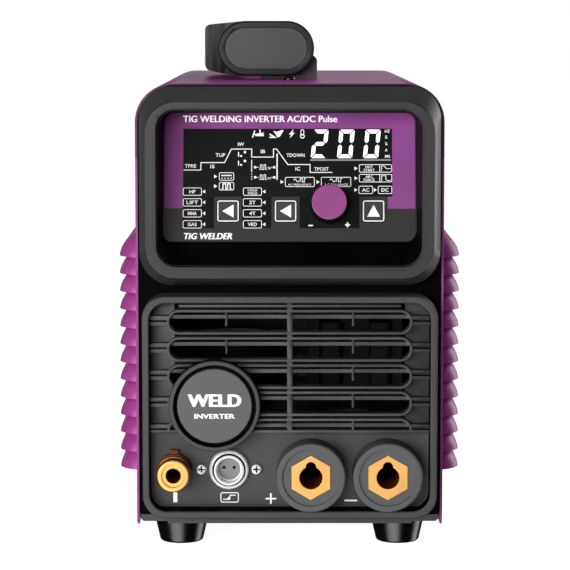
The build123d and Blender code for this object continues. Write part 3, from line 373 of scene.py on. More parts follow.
def tone_cover():
    """The sheet's cut edge at the front, painted lit below and painted in shade above."""
    edge, turn = 22.6, 228  # depth of the edge, height where its tone changes
    cover = pieces["top_cover"]
    cut_line(cover, (0, 0, turn), (0, 0, 1))
    tint(cover, PURPLE_EDGE_PAINTED_SHADE, lambda x, d, z, n: d < edge and n.y < -0.9)
    tint(cover, PURPLE_EDGE_PAINTED_LIT, lambda x, d, z, n: d < edge and n.y < -0.9 and z < turn)
    tint(pieces["case_screws"], BLACKENED, lambda x, d, z, n: z > 270)


def tone_badge():
    middle = middle_of("badge_ring")
    # Painted shade, black, in the groove between ring and disc and on the ring's deep faces.
    tint(pieces["badge_ring"], PAINTED_GAP_SHADE,
         lambda x, d, z, n: outward(x, z, n, middle.x, middle.z) < -2 or d > 3.5)


def tone_connector_plate():
    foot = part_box("connector_plate")[0].z / MM + 0.9
    plate = pieces["connector_plate"]
    cut_line(plate, (0, 0, foot), (0, 0, 1))
    # Painted shadow: a black strip along the plate's foot.
    tint(plate, PAINTED_GAP_SHADE, lambda x, d, z, n: z < foot)


def tone_handle():
    smooth(pieces["handle_grip"])
    # Painted shade: every face of the grip that does not face straight forward gets the near-black copy.
    tint(pieces["handle_grip"], HANDLE_SIDE_PAINTED_SHADE, lambda x, d, z, n: n.y > -0.9)


def tone_screw_crosses():
    """Painted shade, black, in the cross recesses of the two screws beside the torch socket."""
    near, deep, reach, height = 10.1, 11.3, 1.95, 49.0

    def from_axis(x, z):
        return min(math.hypot(x - u, z - height) for u in (-51.0, -19.2))
    tint(pieces["torch_socket_screws"], PAINTED_GAP_SHADE,
         lambda x, d, z, n: near < d < deep and from_axis(x, z) < reach)


def tone_contact(node):
    """Weld socket contact: painted shade in its round bore and the keyway above."""
    bore, keyway_rise, keyway_less = 6.9, 6.2, 3.6
    shade = 5.0  # painted shade: above this height over the axis the bore is black
    middle = middle_of(node)

    def inside(x, z, n):
        round_part = math.hypot(x - middle.x, z - middle.z)
        keyway = math.hypot(x - middle.x, z - middle.z - keyway_rise) + keyway_less
        return abs(n.y) < 0.5 and min(round_part, keyway) < bore
    tint(pieces[node], BORE_BRASS_PAINTED_SHADE, lambda x, d, z, n: inside(x, z, n))
    tint(pieces[node], BORE_PAINTED_SHADE, lambda x, d, z, n: d > 12 or (inside(x, z, n) and z > middle.z + shade))


def tone_gas_outlet():
    bore = 4.7
    middle = middle_of("gas_outlet_sleeve")
    for node in ("gas_outlet_body", "gas_outlet_sleeve"):
        # Painted shade: darker brass on the outlet's sides and deep faces, and in its bore.
        tint(pieces[node], BRASS_SIDE_PAINTED_SHADE, lambda x, d, z, n: n.y > -0.6 or d > 4.0)
    tint(pieces["gas_outlet_body"], BORE_BRASS_PAINTED_SHADE,
         lambda x, d, z, n: abs(n.y) < 0.5 and math.hypot(x - middle.x, z - middle.z) < bore)


tone_fascia()
tone_bezel()
tone_grille()
tone_cover()
tone_badge()
tone_connector_plate()
tone_handle()
tone_screw_crosses()
tone_contact("positive_socket_contact")
tone_contact("negative_socket_contact")
tone_gas_outlet()

# ---- CAD nodes that keep their own shape

PLAIN = {
    "lcd_module": BOARD_GREEN, "control_board": BOARD_GREEN, "power_board": BOARD_GREEN,
    "encoder_body": VALVE_GREY, "encoder_rotor": VALVE_GREY, "gas_valve": VALVE_GREY,
    "encoder_shaft": CHROME, "foot_screws": CHROME, "handle_pins": CHROME,
    "socket_nuts": SOCKET_BLACK, "gas_outlet_nut": BRASS, "gas_hoses": RUBBER,
    "heatsinks": ALUMINIUM, "bus_capacitors": CAN_BLUE, "main_transformer": FERRITE,
    "output_choke": COPPER, "output_busbars": COPPER,
}
for node, material in PLAIN.items():
    nodes[node].data.materials.clear()
    nodes[node].data.materials.append(material)

# ---- turned socket

TURN_STEPS = 72


def turned(node, profile, material):
    """Ring turned about an axis along the depth from (radius, depth) points; it stands for a CAD node."""
    low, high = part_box(node)
    middle = (low + high) / 2
    work = bmesh.new()
    rings = []
    for radius, depth in profile:
        y = FRONT_Y + depth * MM
        if radius == 0:
            rings.append([work.verts.new((middle.x, y, middle.z))])
            continue
        ring = []
        for step in range(TURN_STEPS):
            angle = 2 * math.pi * step / TURN_STEPS
            ring.append(work.verts.new((middle.x + radius * MM * math.cos(angle), y,
                                        middle.z + radius * MM * math.sin(angle))))
        rings.append(ring)
    for first, second in zip(rings, rings[1:]):
        for step in range(TURN_STEPS):
            follow = (step + 1) % TURN_STEPS
            if len(first) == 1:
                work.faces.new((first[0], second[step], second[follow]))
            elif len(second) == 1:
                work.faces.new((first[step], second[0], first[follow]))
            else:
                work.faces.new((first[step], second[step], second[follow], first[follow]))
    bmesh.ops.recalc_face_normals(work, faces=work.faces)
    piece = mesh_piece(node + "_turned", work, material)
    smooth(piece, 50)
    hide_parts(node)
    return piece


SHELL_PROFILE = (
    (0, 27.0), (6.4, 27.0), (6.4, 12.0), (7.0, 12.0), (7.0, 6.9), (7.3, 6.3), (7.7, 6.2), (8.5, 6.2),
    (8.8, 6.5), (8.8, 9.6), (9.5, 9.6), (9.5, 8.3), (9.8, 8.0), (10.3, 8.0), (11.0, 8.4), (11.4, 9.1),
    (11.5, 9.8), (11.5, 12.0), (9.4, 12.0), (9.4, 30.0), (0, 30.0),
)


def torch_shell():
    """Chromed ring of the torch socket, with painted shade, black, in its groove."""
    shell = turned("torch_socket_shell", SHELL_PROFILE, SATIN_CHROME)
    middle = middle_of("torch_socket_shell")
    tint(shell, PAINTED_GAP_SHADE,
         lambda x, d, z, n: 8.7 < math.hypot(x - middle.x, z - middle.z) < 9.52 and 7.0 < d < 11.0)


torch_shell()

# ---- side louvres

LOUVRES = 13
LOUVRE_HEIGHT = 15.5  # of one hood, from its lip up
LOUVRE_ROUND = 15.0  # length of a hood's rounded end
LOUVRE_WALL = 1.6
LOUVRE_SLOT = (1.2, 7.4)  # lower and upper edge of the slot behind a hood, above its lip
CASE_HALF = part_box("top_cover")[1].x / MM
# The two plates behind the hoods: inner and outer face from the case's side, and how far the plate goes
# past the hoods in depth, below and above.
LOUVRE_PLATES = ((-3.2, -1.4, 6.0, 5.5, 21.5), (-1.5, 0.4, 1.8, 2.4, 17.3))


def hood_line(reach, height):
    """Points of one hood's section from the case down to the lip: a curve that bellies outwards."""
    sunk, steps = 0.6, 10
    start, end = Vector((-sunk, height)), Vector((reach, sunk))
    pull = Vector((0.86 * reach + 0.3, 0.74 * height - 0.3))
    points = []
    for i in range(steps + 1):
        s = i / steps
        points.append(start * (1 - s) ** 2 + pull * 2 * s * (1 - s) + end * s ** 2)
    return points


def hood_places(near, far):
    """Depths along a hood, close together on its round ends, with the size of the section at each."""
    steps = 9
    ends = []
    for i in range(steps + 1):
        angle = math.pi / 2 * i / steps
        size = max(0.05, math.sin(angle))
        ends.append((LOUVRE_ROUND * (1 - math.cos(angle)), size))
    return [(near + e, size) for e, size in ends] + [(far - e, size) for e, size in reversed(ends)]


def hood(work, side, lip, near, far, reach):
    """One thin-walled hood, open towards the floor."""
    sheets = []
    for wall in (0.0, LOUVRE_WALL):
        line = hood_line(reach - wall, LOUVRE_HEIGHT - wall)
        rows = []
        for depth, size in hood_places(near + wall, far - wall):
            row = []
            for point in line:
                x = side * (CASE_HALF + point.x * size)
                row.append(work.verts.new(Vector((x, depth, lip + point.y * size)) * MM))
            rows.append(row)
        sheets.append(rows)
    outer, inner = sheets
    last = len(outer) - 1
    for rows in sheets:
        for r in range(last):
            for i in range(len(rows[0]) - 1):
                work.faces.new((rows[r][i], rows[r][i + 1], rows[r + 1][i + 1], rows[r + 1][i]))
    for r in range(last):
        for i in (0, len(outer[0]) - 1):
            work.faces.new((outer[r][i], inner[r][i], inner[r + 1][i], outer[r + 1][i]))
    for r in (0, last):
        for i in range(len(outer[0]) - 1):
            work.faces.new((outer[r][i], outer[r][i + 1], inner[r][i + 1], inner[r][i]))


def slotted_plate(work, side, inner, outer, depths, heights):
    """Upright plate cut in five columns; every second cell of the second and fourth is open."""
    grid = [[work.verts.new(Vector((side * inner, y, z)) * MM) for z in heights] for y in depths]
    cells = []
    for c in range(len(depths) - 1):
        for r in range(len(heights) - 1):
            if c in (1, 3) and r % 2 == 1:
                continue
            cells.append(work.faces.new((grid[c][r], grid[c + 1][r], grid[c + 1][r + 1], grid[c][r + 1])))
    grown = bmesh.ops.extrude_face_region(work, geom=cells)
    for item in grown["geom"]:
        if isinstance(item, bmesh.types.BMVert):
            item.co.x += side * (outer - inner) * MM
    loose = [v for column in grid for v in column if v.is_valid and not v.link_faces]
    bmesh.ops.delete(work, geom=loose, context="VERTS")


def louvre_bank(node, side):
    """All the hoods of one side over their slotted plates, which stand for a CAD node."""
    inset, above_hoods, below_hoods, rib = 6.0, 7.5, 5.5, 4
    low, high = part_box(node)
    reach = max(abs(low.x), abs(high.x)) / MM - CASE_HALF
    near, far = low.y / MM + inset, high.y / MM - inset
    top_lip = high.z / MM - above_hoods - LOUVRE_HEIGHT
    low_lip = low.z / MM + below_hoods
    pitch = (top_lip - low_lip) / (LOUVRES - 1)
    lips = [low_lip + pitch * row for row in range(LOUVRES)]
    middle = (near + far) / 2
    work = bmesh.new()
    for lip in lips:
        hood(work, side, lip, near, far, reach)
    levels = [lip + edge for lip in lips for edge in LOUVRE_SLOT]
    for inner, outer, edge, below, above in LOUVRE_PLATES:
        depths = (near - edge, near + rib, middle - rib, middle + rib - 1, far - rib, far + edge)
        heights = [low_lip - below] + levels + [top_lip + above]
        slotted_plate(work, side, CASE_HALF + inner, CASE_HALF + outer, depths, heights)
    bmesh.ops.recalc_face_normals(work, faces=work.faces)
    bank = mesh_piece(node.replace("side_vent", "louvres"), work, PURPLE_PLASTIC)
    smooth(bank, 40)
    round_edges(bank, 0.3, 50)
    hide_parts(node)


louvre_bank("side_vent_left", -1)
louvre_bank("side_vent_right", 1)

# ---- printing on flat faces

# Places on the panel are measured across and up from the middle of its lower edge.

KNOB_PLACE = Vector((22.6, 20.8))  # the knob's axis
ARROW, DOT, FINE_LINE = 1.8, 0.75, 0.35  # length of an arrow, radius of a dot, width of a thin line


def plane_matrix(origin, right, up, normal):
    """Takes millimetres across, up and out of a face to metres in the machine's frame."""
    matrix = Matrix.Identity(4)
    for column, axis in enumerate((right, up, normal)):
        for row in range(3):
            matrix[row][column] = axis[row] * MM
    for row in range(3):
        matrix[row][3] = origin[row]
    return matrix


def panel_matrix():
    knob = joints["knob_turn"]
    normal = Vector(knob["axis"]).normalized()
    right = Vector((1, 0, 0))
    up = normal.cross(right)
    origin = Vector(knob["pos_m"]) - (right * KNOB_PLACE.x + up * KNOB_PLACE.y) * MM
    return plane_matrix(origin, right, up, normal)


def front_matrix(depth):
    origin = (0, FRONT_Y + depth * MM, 0)
    return plane_matrix(origin, (1, 0, 0), (0, 0, 1), (0, -1, 0))


PANEL = panel_matrix()


class Print:
    """One printed layer: thin plates gathered in one mesh."""

    def __init__(self, matrix, low, high):
        self.matrix = matrix
        self.low = low
        self.high = high
        self.work = bmesh.new()

    def vert(self, point, height):
        return self.work.verts.new(self.matrix @ Vector((point[0], point[1], height)))

    def plate(self, outline):
        lower = [self.vert(p, self.low) for p in outline]
        upper = [self.vert(p, self.high) for p in outline]
        count = len(outline)
        self.work.faces.new(upper)
        self.work.faces.new(list(reversed(lower)))
        for i in range(count):
            j = (i + 1) % count
            self.work.faces.new((lower[i], lower[j], upper[j], upper[i]))

    def ring(self, outer, inner):
        around = ((outer, self.low), (outer, self.high), (inner, self.high), (inner, self.low))
        join_loops(self.work, [[self.vert(p, h) for p in line] for line, h in around])

    def box(self, left, low, right, high, radius=0.01):
        self.plate(corner_points(left, low, right, high, radius))

    def frame(self, left, low, right, high, radius=0.9, width=0.36):
        outer = corner_points(left, low, right, high, radius)
        sides = (left + width, low + width, right - width, high - width)
        self.ring(outer, corner_points(*sides, max(0.05, radius - width)))

    def stroke(self, points, width=0.45):
        """Line of even width with mitred corners."""
        points = [Vector(p) for p in points]
        left, right = [], []
        for i, point in enumerate(points):
            before = (point - points[i - 1]).normalized() if i else None
            after = (points[i + 1] - point).normalized() if i + 1 < len(points) else None
            way_in = before or after
            way_out = after or before
            normal_in = Vector((-way_in.y, way_in.x))
            normal_out = Vector((-way_out.y, way_out.x))
            mitre = (normal_in + normal_out).normalized()
            reach = width / 2 / max(0.3, mitre.dot(normal_in))
            left.append(point + mitre * reach)
            right.append(point - mitre * reach)
        self.plate(right + list(reversed(left)))

    def disc(self, centre, radius, sides=20):
        turn = [2 * math.pi * i / sides for i in range(sides)]
        self.plate([(centre[0] + radius * math.cos(a), centre[1] + radius * math.sin(a)) for a in turn])

    def arrow(self, tip, size, way):
        """Small triangle that points left (-1) or right (1)."""
        u, v = tip
        back = u - way * size
        corners = [(u, v), (back, v + 0.62 * size), (back, v - 0.62 * size)]
        self.plate(corners if way < 0 else list(reversed(corners)))

    def text(self, words, left, low, height, width, slant=0.0, weight=0.0, centre=False):
        """Line of lettering, fitted to a height and a width; left is its middle when it is centred."""
        curve = bpy.data.curves.new("lettering", "FONT")
        curve.body = words
        curve.offset = weight
        curve.resolution_u = 3
        letters = bpy.data.objects.new("lettering", curve)
        bpy.context.scene.collection.objects.link(letters)
        flat = bpy.data.meshes.new_from_object(letters)
        bpy.data.objects.remove(letters)
        xs = [v.co.x for v in flat.vertices]
        ys = [v.co.y for v in flat.vertices]
        tall = height / (max(ys) - min(ys))
        wide = width / (max(xs) - min(xs))
        shift = left - (max(xs) - min(xs)) * wide / 2 if centre else left
        flat_work = bmesh.new()
        flat_work.from_mesh(flat)
        bpy.data.meshes.remove(flat)
        for vert in flat_work.verts:
            v = (vert.co.y - min(ys)) * tall
            u = shift + (vert.co.x - min(xs)) * wide + v * slant
            vert.co = self.matrix @ Vector((u, low + v, self.high))
        grown = bmesh.ops.extrude_face_region(flat_work, geom=flat_work.faces[:])
        down = self.matrix.to_3x3() @ Vector((0, 0, self.low - self.high))
        for item in grown["geom"]:
            if isinstance(item, bmesh.types.BMVert):
                item.co += down
        part = bpy.data.meshes.new("lettering")
        flat_work.to_mesh(part)
        flat_work.free()
        self.work.from_mesh(part)
        bpy.data.meshes.remove(part)

    def heavy(self, words, left, low, height, width, bold, slant=0.0, centre=False):
        """Bold lettering: the same line laid three times, a little apart."""
        for push in (-bold, 0.0, bold):
            self.text(words, left + push, low, height, width - 2 * bold, slant, 0.012, centre)

    def piece(self, name, material, body="chassis", slot=None):
        bmesh.ops.recalc_face_normals(self.work, faces=self.work.faces)
        return mesh_piece(name, self.work, material, body)


WINDOW_LEFT, WINDOW_RIGHT, WINDOW_TOP = -61.6, 59.3, 66.1  # the black window in the coloured panel
COLOUR_FOOT = 19.2  # the purple ends here and the grey begins
KEYS_TOP = 26.2  # upper edge of the black fields behind the keys


def panel_colours():
    """Purple and black areas of the printed overlay."""
    half, tall, corner, steps, notch = 72.55, 75.3, 5.4, 8, 56.65
    left_foot = COLOUR_FOOT + 0.2
    purple = Print(PANEL, 0.0, 0.03)
    outline = [(-half, left_foot), (WINDOW_LEFT, left_foot), (WINDOW_LEFT, WINDOW_TOP),
               (WINDOW_RIGHT, WINDOW_TOP), (WINDOW_RIGHT, KEYS_TOP), (notch, KEYS_TOP),
               (notch, COLOUR_FOOT), (half, COLOUR_FOOT)]
    upper_corners = slice(steps + 1, 3 * (steps + 1))
    outline += corner_points(-half, 0, half, tall, corner, steps)[upper_corners]
    purple.plate(outline)
    purple.piece("overlay_purple", PURPLE_PRINT, slot="overlay_print")
    black = Print(PANEL, 0.0, 0.03)
    for left, right in ((WINDOW_LEFT, -43.7), (-27.7, -10.6), (5.7, 40.2)):
        black.box(left, 7.7, right, KEYS_TOP)
    black.piece("overlay_black", PRINT_BLACK, slot="overlay_print")


def pulses(white, turns, low, high, width):
    """Line that steps up and down between two heights at each turn; it starts and ends low."""
    points = [(turns[0], low)]
    level, other = low, high
    for u in turns[1:-1]:
        points += [(u, level), (u, other)]
        level, other = other, level
    points.append((turns[-1], level))
    white.stroke(points, width)


CYCLE_LINE = (
    (-61.4, 41.8), (-51.4, 41.8), (-51.4, 46.15), (-37.7, 46.15), (-33.8, 54.1), (-22, 54.1), (-22, 49.4),
    (-9.4, 49.4), (-9.4, 54.1), (-7.6, 54.1), (-1.1, 45.0), (11.8, 45.0), (11.8, 40.4), (24.7, 40.4),
)
CYCLE_LABELS = (  # words, middle, height of the middle, width
    ("TPRE", -57.4, 44.2, 6.6), ("IS", -44.7, 43.9, 2.5), ("TUP", -40.1, 50.6, 5.6), ("IW", -28.2, 57.0, 3.6),
    ("IB", -15.5, 52.7, 2.6), ("TDOWN", 3.4, 50.5, 10.5), ("IC", 4.7, 42.5, 2.8), ("TPOST", 18.4, 42.4, 8.4),
)


def welding_cycle(white):
    """The current's course over one weld, with its named times and currents."""
    letter = 2.1
    white.stroke(CYCLE_LINE, 0.5)
    for words, u, v, width in CYCLE_LABELS:
        white.text(words, u, v - letter / 2, letter, width, weight=0.015, centre=True)
    for v in (51.0, 45.8):
        white.stroke([(-29.6, v - 1.4), (-29.6, v + 1.4)], 0.6)
        white.box(-28.7, v - 1.5, -27.6, v - 0.5)
        white.disc((-25.9, v + 1.3), DOT)
    pulse_start, pulse_end = -22, -7.3
    white.stroke([(pulse_start, 47.8), (pulse_start, 40.6)])
    for v in (39.4, 37.9, 36.4):
        white.stroke([(pulse_start, v + 0.35), (pulse_start, v - 0.35)])
    white.stroke([(pulse_end, 51.4), (pulse_end, 36.2)], 0.7)
    for v, unit in ((43.4, "%"), (37.5, "Hz")):
        white.disc((-20.0, v), DOT)
        white.disc((-8.9, v), DOT)
        white.stroke([(-19.2, v), (-18.0, v)], 0.3)
        white.stroke([(-10.9, v), (-9.7, v)], 0.3)
        pulses(white, (-17.6, -17.0, -16.0, -14.9, -13.9, -13.2), v - 1.3, v + 1.5, FINE_LINE)
        white.text(unit, -12.7, v - 1.2, 1.4, 1.7, weight=0.01)


MODE_ROWS = (29.15, 22.85, 16.45, 10.05)
MODE_COLUMNS = ((-61.7, -49.9, ("HF", "LIFT", "MMA", "GAS")), (-27.0, -15.1, ("", "2T", "4T", "VRD")))


def mode_boxes(white):
    """Framed names of the modes, and the two boxes for plain and pulsed current."""
    wide, half = 10.9, 2.35
    for left, arrow, names in MODE_COLUMNS:
        middle = left + wide / 2
        for v, words in zip(MODE_ROWS, names):
            white.frame(left, v - half, left + wide, v + half)
            white.arrow((arrow - 0.6, v), 1.7, -1)
            if words:
                width = 1.55 * len(words) + 0.6
                white.text(words, middle, v - 1.0, 2.0, width, weight=0.018, centre=True)
            else:
                white.text("COLD", middle, v + 0.15, 1.45, 5.6, weight=0.01, centre=True)
                white.text("WELD", middle, v - 1.7, 1.45, 5.6, weight=0.01, centre=True)
    for v in (38.0, 32.3):
        white.frame(-40.9, v - 2.4, -32.2, v + 2.4)
        white.arrow((-41.9, v), ARROW, 1)
    white.stroke([(-39.6, 38.6), (-33.5, 38.6)], 0.65)
    for u in (-39.2, -37.4, -35.6, -33.9):
        white.stroke([(u - 0.3, 37.0), (u + 0.4, 37.0)], 0.5)
    pulses(white, (-39.4, -38.6, -37.0, -35.9, -34.4, -33.6), 30.8, 33.7, 0.6)


def wave(white, u, v, size):
    """One period of a sine."""
    steps, swing = 12, 0.28
    turns = [i / steps for i in range(steps + 1)]
    white.stroke([(u + size * t, v + swing * size * math.sin(2 * math.pi * t)) for t in turns], FINE_LINE)


def setting_boxes(white):
    """Boxes for the settings of alternating current, of the arc and of the kind of current."""
    for left, right, words in ((-2.7, 14.4, "AC FREQUENCY"), (18.1, 35.5, "AC BALANCE")):
        middle = (left + right) / 2
        low, high = 34.8, 36.8
        white.frame(left, 31.9, right, 37.7)
        white.arrow((left - 0.8, low), ARROW, 1)
        white.text(words, middle, 32.5, 1.35, right - left - 3.4, weight=0.008, centre=True)
        wave(white, middle - 3.6, 35.7, 3.2)
        white.stroke([(middle + 0.2, low), (middle + 0.2, high), (middle + 1.4, high), (middle + 1.4, low),
                      (middle + 2.6, low), (middle + 2.6, high), (middle + 3.6, high)], FINE_LINE)
    for low, first, second in ((40.35, "HOT", "START"), (34.6, "ARC", "FORCE")):
        tall = 4.8
        white.frame(40.1, low, 59.2, low + tall)
        white.arrow((39.3, low + tall / 2), ARROW, 1)
        white.stroke([(52.1, low + 0.3), (52.1, low + tall - 0.3)], 0.4)
        white.text(first, 46.0, low + 2.5, 1.55, 4.4, weight=0.012, centre=True)
        white.text(second, 46.0, low + 0.6, 1.55, 6.4, weight=0.012, centre=True)
    hot_start = [(53.2, 41.2), (53.2, 44.2), (54.6, 44.2), (56.0, 42.6), (58.4, 42.6)]
    arc_force = [(53.2, 35.5), (53.2, 38.4), (55.6, 38.4), (55.6, 36.4), (56.4, 35.6), (58.4, 35.6)]
    white.stroke(hot_start, FINE_LINE)
    white.stroke(arc_force, FINE_LINE)
    for left, right, words in ((39.8, 48.1, "AC"), (51.0, 59.2, "DC")):
        white.frame(left, 27.8, right, 32.5)
        white.arrow((left - 0.6, 30.15), ARROW, 1)
        white.text(words, (left + right) / 2, 29.1, 2.1, 4.2, weight=0.018, centre=True)


def torch_icon(white):
    white.stroke([(-21.6, 60.8), (-20.2, 65.0)], 0.7)
    white.box(-19.9, 61.7, -15.0, 62.9)
    white.stroke([(-20.6, 62.6), (-15.0, 63.6)], 0.5)
    white.stroke([(-17.2, 62.5), (-17.2, 65.6)], 0.7)


def gas_icon(white):
    white.stroke([(-11.7, 62.9), (-8.6, 61.0), (-11.7, 61.0)], 0.8)
    white.plate([(-7.6, 64.2), (-4.6, 65.2), (-3.4, 65.2), (-5.6, 61.5), (-7.0, 61.0), (-9.6, 64.9)])


def lightning_icon(white):
    white.plate([(2.2, 65.7), (-0.5, 62.7), (0.9, 62.7), (0.1, 60.5), (3.0, 63.6), (1.6, 63.6)])


def thermometer_icon(white):
    u, v, steps = 7.35, 61.6, 16
    white.frame(6.3, 62.2, 8.4, 65.6, 0.9, 0.4)
    turns = [2 * math.pi * i / steps for i in range(steps)]
    white.ring(*[[(u + r * math.cos(a), v + r * math.sin(a)) for a in turns] for r in (1.35, 0.85)])


def unit_marks(white):
    """Units beside the reading, and the signs beside the knob."""
    for words, v in (("HZ", 64.6), ("S", 61.1), ("%", 57.3), ("A", 53.5), ("MS", 49.8)):
        white.text(words, 55.2, v - 0.85, 1.75, 1.5 * len(words), weight=0.012)
    white.box(10.8, 8.95, 13.4, 9.75)
    white.box(32.0, 9.3, 34.8, 10.1)
    white.box(33.0, 8.3, 33.8, 11.1)


# Ends of each bar of a seven-segment digit, as parts of its width and height.
SEGMENTS = {"a": ((0, 1), (1, 1)), "b": ((1, 1), (1, 0.5)), "c": ((1, 0.5), (1, 0)), "d": ((0, 0), (1, 0)),
            "e": ((0, 0), (0, 0.5)), "f": ((0, 0.5), (0, 1)), "g": ((0, 0.5), (1, 0.5))}
DIGITS = {"0": "abcdef", "2": "abged"}
READING = (("2", 12.2), ("0", 27.35), ("0", 42.45))  # digits and their left edges
DIGIT_WIDE, DIGIT_TALL, DIGIT_FOOT = 8.7, 16.7, 48.8
BAR, BAR_GAP, DIGIT_LEAN = 2.2, 0.45, 0.1


def segment_outline(name):
    """Bar of a digit with mitred ends, before it leans; its long outer side lies on the digit's edge."""
    (u0, v0), (u1, v1) = SEGMENTS[name]
    half = BAR / 2
    if v0 == v1 == 0.5:
        middle = DIGIT_TALL / 2
        near, far = BAR_GAP + half, DIGIT_WIDE - BAR_GAP - half
        return [(near, middle), (near + half, middle + half), (far - half, middle + half), (far, middle),
                (far - half, middle - half), (near + half, middle - half)]
    inside = -1 if (u0 + u1) / 2 > 0.5 or (v0 + v1) / 2 > 0.75 else 1
    if v0 == v1:
        edge = v0 * DIGIT_TALL
        near, far = BAR_GAP, DIGIT_WIDE - BAR_GAP
        back = edge + inside * BAR
        return [(near, edge), (far, edge), (far - BAR, back), (near + BAR, back)]
    edge = u0 * DIGIT_WIDE
    low, high = min(v0, v1) * DIGIT_TALL + BAR_GAP, max(v0, v1) * DIGIT_TALL - BAR_GAP
    if min(v0, v1) == 0:
        return [(edge, low), (edge + inside * BAR, low + BAR), (edge + inside * BAR, high - half),
                (edge + inside * half, high), (edge, high - half)]
    return [(edge, high), (edge, low + half), (edge + inside * half, low),
            (edge + inside * BAR, low + half), (edge + inside * BAR, high - BAR)]


def display_digits():
    """Seven-segment reading of the welding current, and the line under it."""
    lit = Print(PANEL, 0.0, 0.05)
    for digit, left in READING:
        for name in DIGITS[digit]:
            lit.plate([(left + u + v * DIGIT_LEAN, DIGIT_FOOT + v) for u, v in segment_outline(name)])
    lit.piece("display_digits", LCD_WHITE, slot="smoked_window")
    line = Print(PANEL, 0.0, 0.05)
    line.box(11.8, 47.2, 58.6, 48.1)
    line.piece("display_underline", LINE_GREY, slot="smoked_window")


def panel_print():
    panel_colours()
    white = Print(PANEL, 0.03, 0.06)
    white.heavy("TIG WELDING INVERTER AC/DC Pulse", -61.8, 69.9, 3.9, 89.6, 0.12)
    white.heavy("TIG WELDER", -61.5, 1.3, 3.7, 28.6, 0.16, slant=0.2)
    welding_cycle(white)
    mode_boxes(white)
    setting_boxes(white)
    torch_icon(white)
    gas_icon(white)
    lightning_icon(white)
    thermometer_icon(white)
    unit_marks(white)
    white.piece("panel_legends", WHITE_PRINT_PAINTED_GLOW, slot="overlay_print")
    display_digits()


def key_marks():
    """Frame and triangle on each key."""
    top, height, half = 0.7, 17.7, 6.15  # face of a key over the panel, its middle, half its frame
    for name, centre in (("key_left", -35.6), ("key_middle", -2.4), ("key_right", 48.4)):
        mark = Print(PANEL, top, top + 0.05)
        mark.frame(centre - half, height - half, centre + half, height + half, 1.3, 0.6)
        if name == "key_right":
            mark.plate([(centre, height + 3.6), (centre - 3.7, height - 3.3), (centre + 3.7, height - 3.3)])
        else:
            mark.plate([(centre - 3.3, height), (centre + 3.2, height - 3.8), (centre + 3.2, height + 3.8)])
        mark.piece(name + "_mark", WHITE_PRINT_PAINTED_GLOW, name, "key_black")


def connector_marks():
    """Signs under the gas outlet and the torch socket, and plus and minus beside the weld sockets."""
    plate_depth = 12.0
    white = Print(front_matrix(plate_depth), 0.0, 0.05)
    white.box(-67.4, 29.5, -65.1, 35.2, 0.1)
    white.frame(-40.1, 29.3, -29.5, 35.3, 1.2, 0.5)
    white.stroke([(-38.6, 31.2), (-35.4, 31.2), (-34.4, 33.6), (-31.2, 33.6)], 0.5)
    white.disc((-35.2, 31.7), 0.8)
    white.box(-14.0, 31.1, -7.9, 32.0)
    white.box(-11.4, 28.5, -10.5, 34.7)
    white.box(31.7, 30.0, 39.0, 30.9)
    white.piece("connector_marks", WHITE_PRINT_PAINTED_GLOW, slot="case_black")


def badge_marks():
    depth = (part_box("badge_disc")[0].y - FRONT_Y) / MM
    middle = middle_of("badge_disc")
    white = Print(front_matrix(depth), 0.0, 0.06)
    white.heavy("WELD", middle.x, middle.z - 0.4, 7.2, 31.0, 0.5, centre=True)
    white.heavy("INVERTER", middle.x, middle.z - 7.2, 2.7, 23.3, 0.14, centre=True)
    white.piece("badge_lettering", WHITE_PRINT_PAINTED_GLOW, slot="badge_grey")


panel_print()
key_marks()
connector_marks()
badge_marks()

# ---- trim round the display opening

def mouth_trim():
    """Sloping lip round the opening of the display bezel, in painted shade."""
    half, low, high, radius = 76.3, 167.2, 257.5, 12.0
    out, over, steps = 1.3, 1.1, 9  # how far the lip passes the opening's edge, and narrows it
    outer = corner_points(-half - out, low - out, half + out, high + out, radius + out, steps)
    inner = corner_points(-half + over, low + over, half - over, high - over, radius - over, steps)
    lines = [[(x, FRONT_Y / MM + depth, z) for x, z in outline]
             for outline, depth in ((outer, -0.06), (inner, 0.9), (inner, 1.7), (outer, 0.4))]
    band("bezel_mouth_trim", lines, BEZEL_MOUTH_PAINTED_SHADE, 30)


mouth_trim()

# ---- sleeve round the capacitors

def capacitor_wrap():
    """Shrink sleeve that holds the row of capacitors together."""
    clear, wall, below, above, steps = 0.1, 0.4, 3.0, 4.0, 8
    low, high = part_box("bus_capacitors")
    low, high = low / MM, high / MM
    radius = (high.y - low.y) / 2
    outer, inner = [corner_points(low.x - out, low.y - out, high.x + out, high.y + out, radius + out, steps)
                    for out in (clear + wall, clear)]
    bottom, top = low.z + below, high.z - above
    lines = [[(x, y, z) for x, y in outline]
             for outline, z in ((outer, bottom), (outer, top), (inner, top), (inner, bottom))]
    band("capacitor_wrap", lines, CAN_BLUE, 40)


capacitor_wrap()

# ---- stage, light and camera

def stage_floor():
    """Pale floor that the machine stands on; reflections and shaded sides don't see it."""
    work = bmesh.new()
    bmesh.ops.create_grid(work, x_segments=1, y_segments=1, size=12.0)
    mesh = bpy.data.meshes.new("floor")
    work.to_mesh(mesh)
    work.free()
    floor = bpy.data.objects.new("floor", mesh)
    pale = surface("pale_floor", (235, 235, 235), 0.8, mottle=0.005, specular=0.1, emission=1.1)
    mesh.materials.append(pale)
    bpy.context.scene.collection.objects.link(floor)
    floor.visible_diffuse = False
    floor.visible_glossy = False


def bearing(azimuth, elevation):
    """Unit vector for a bearing from the front of the machine, positive to the right."""
    turn, rise = math.radians(azimuth), math.radians(elevation)
    return Vector((math.sin(turn) * math.cos(rise), -math.cos(turn) * math.cos(rise), math.sin(rise)))


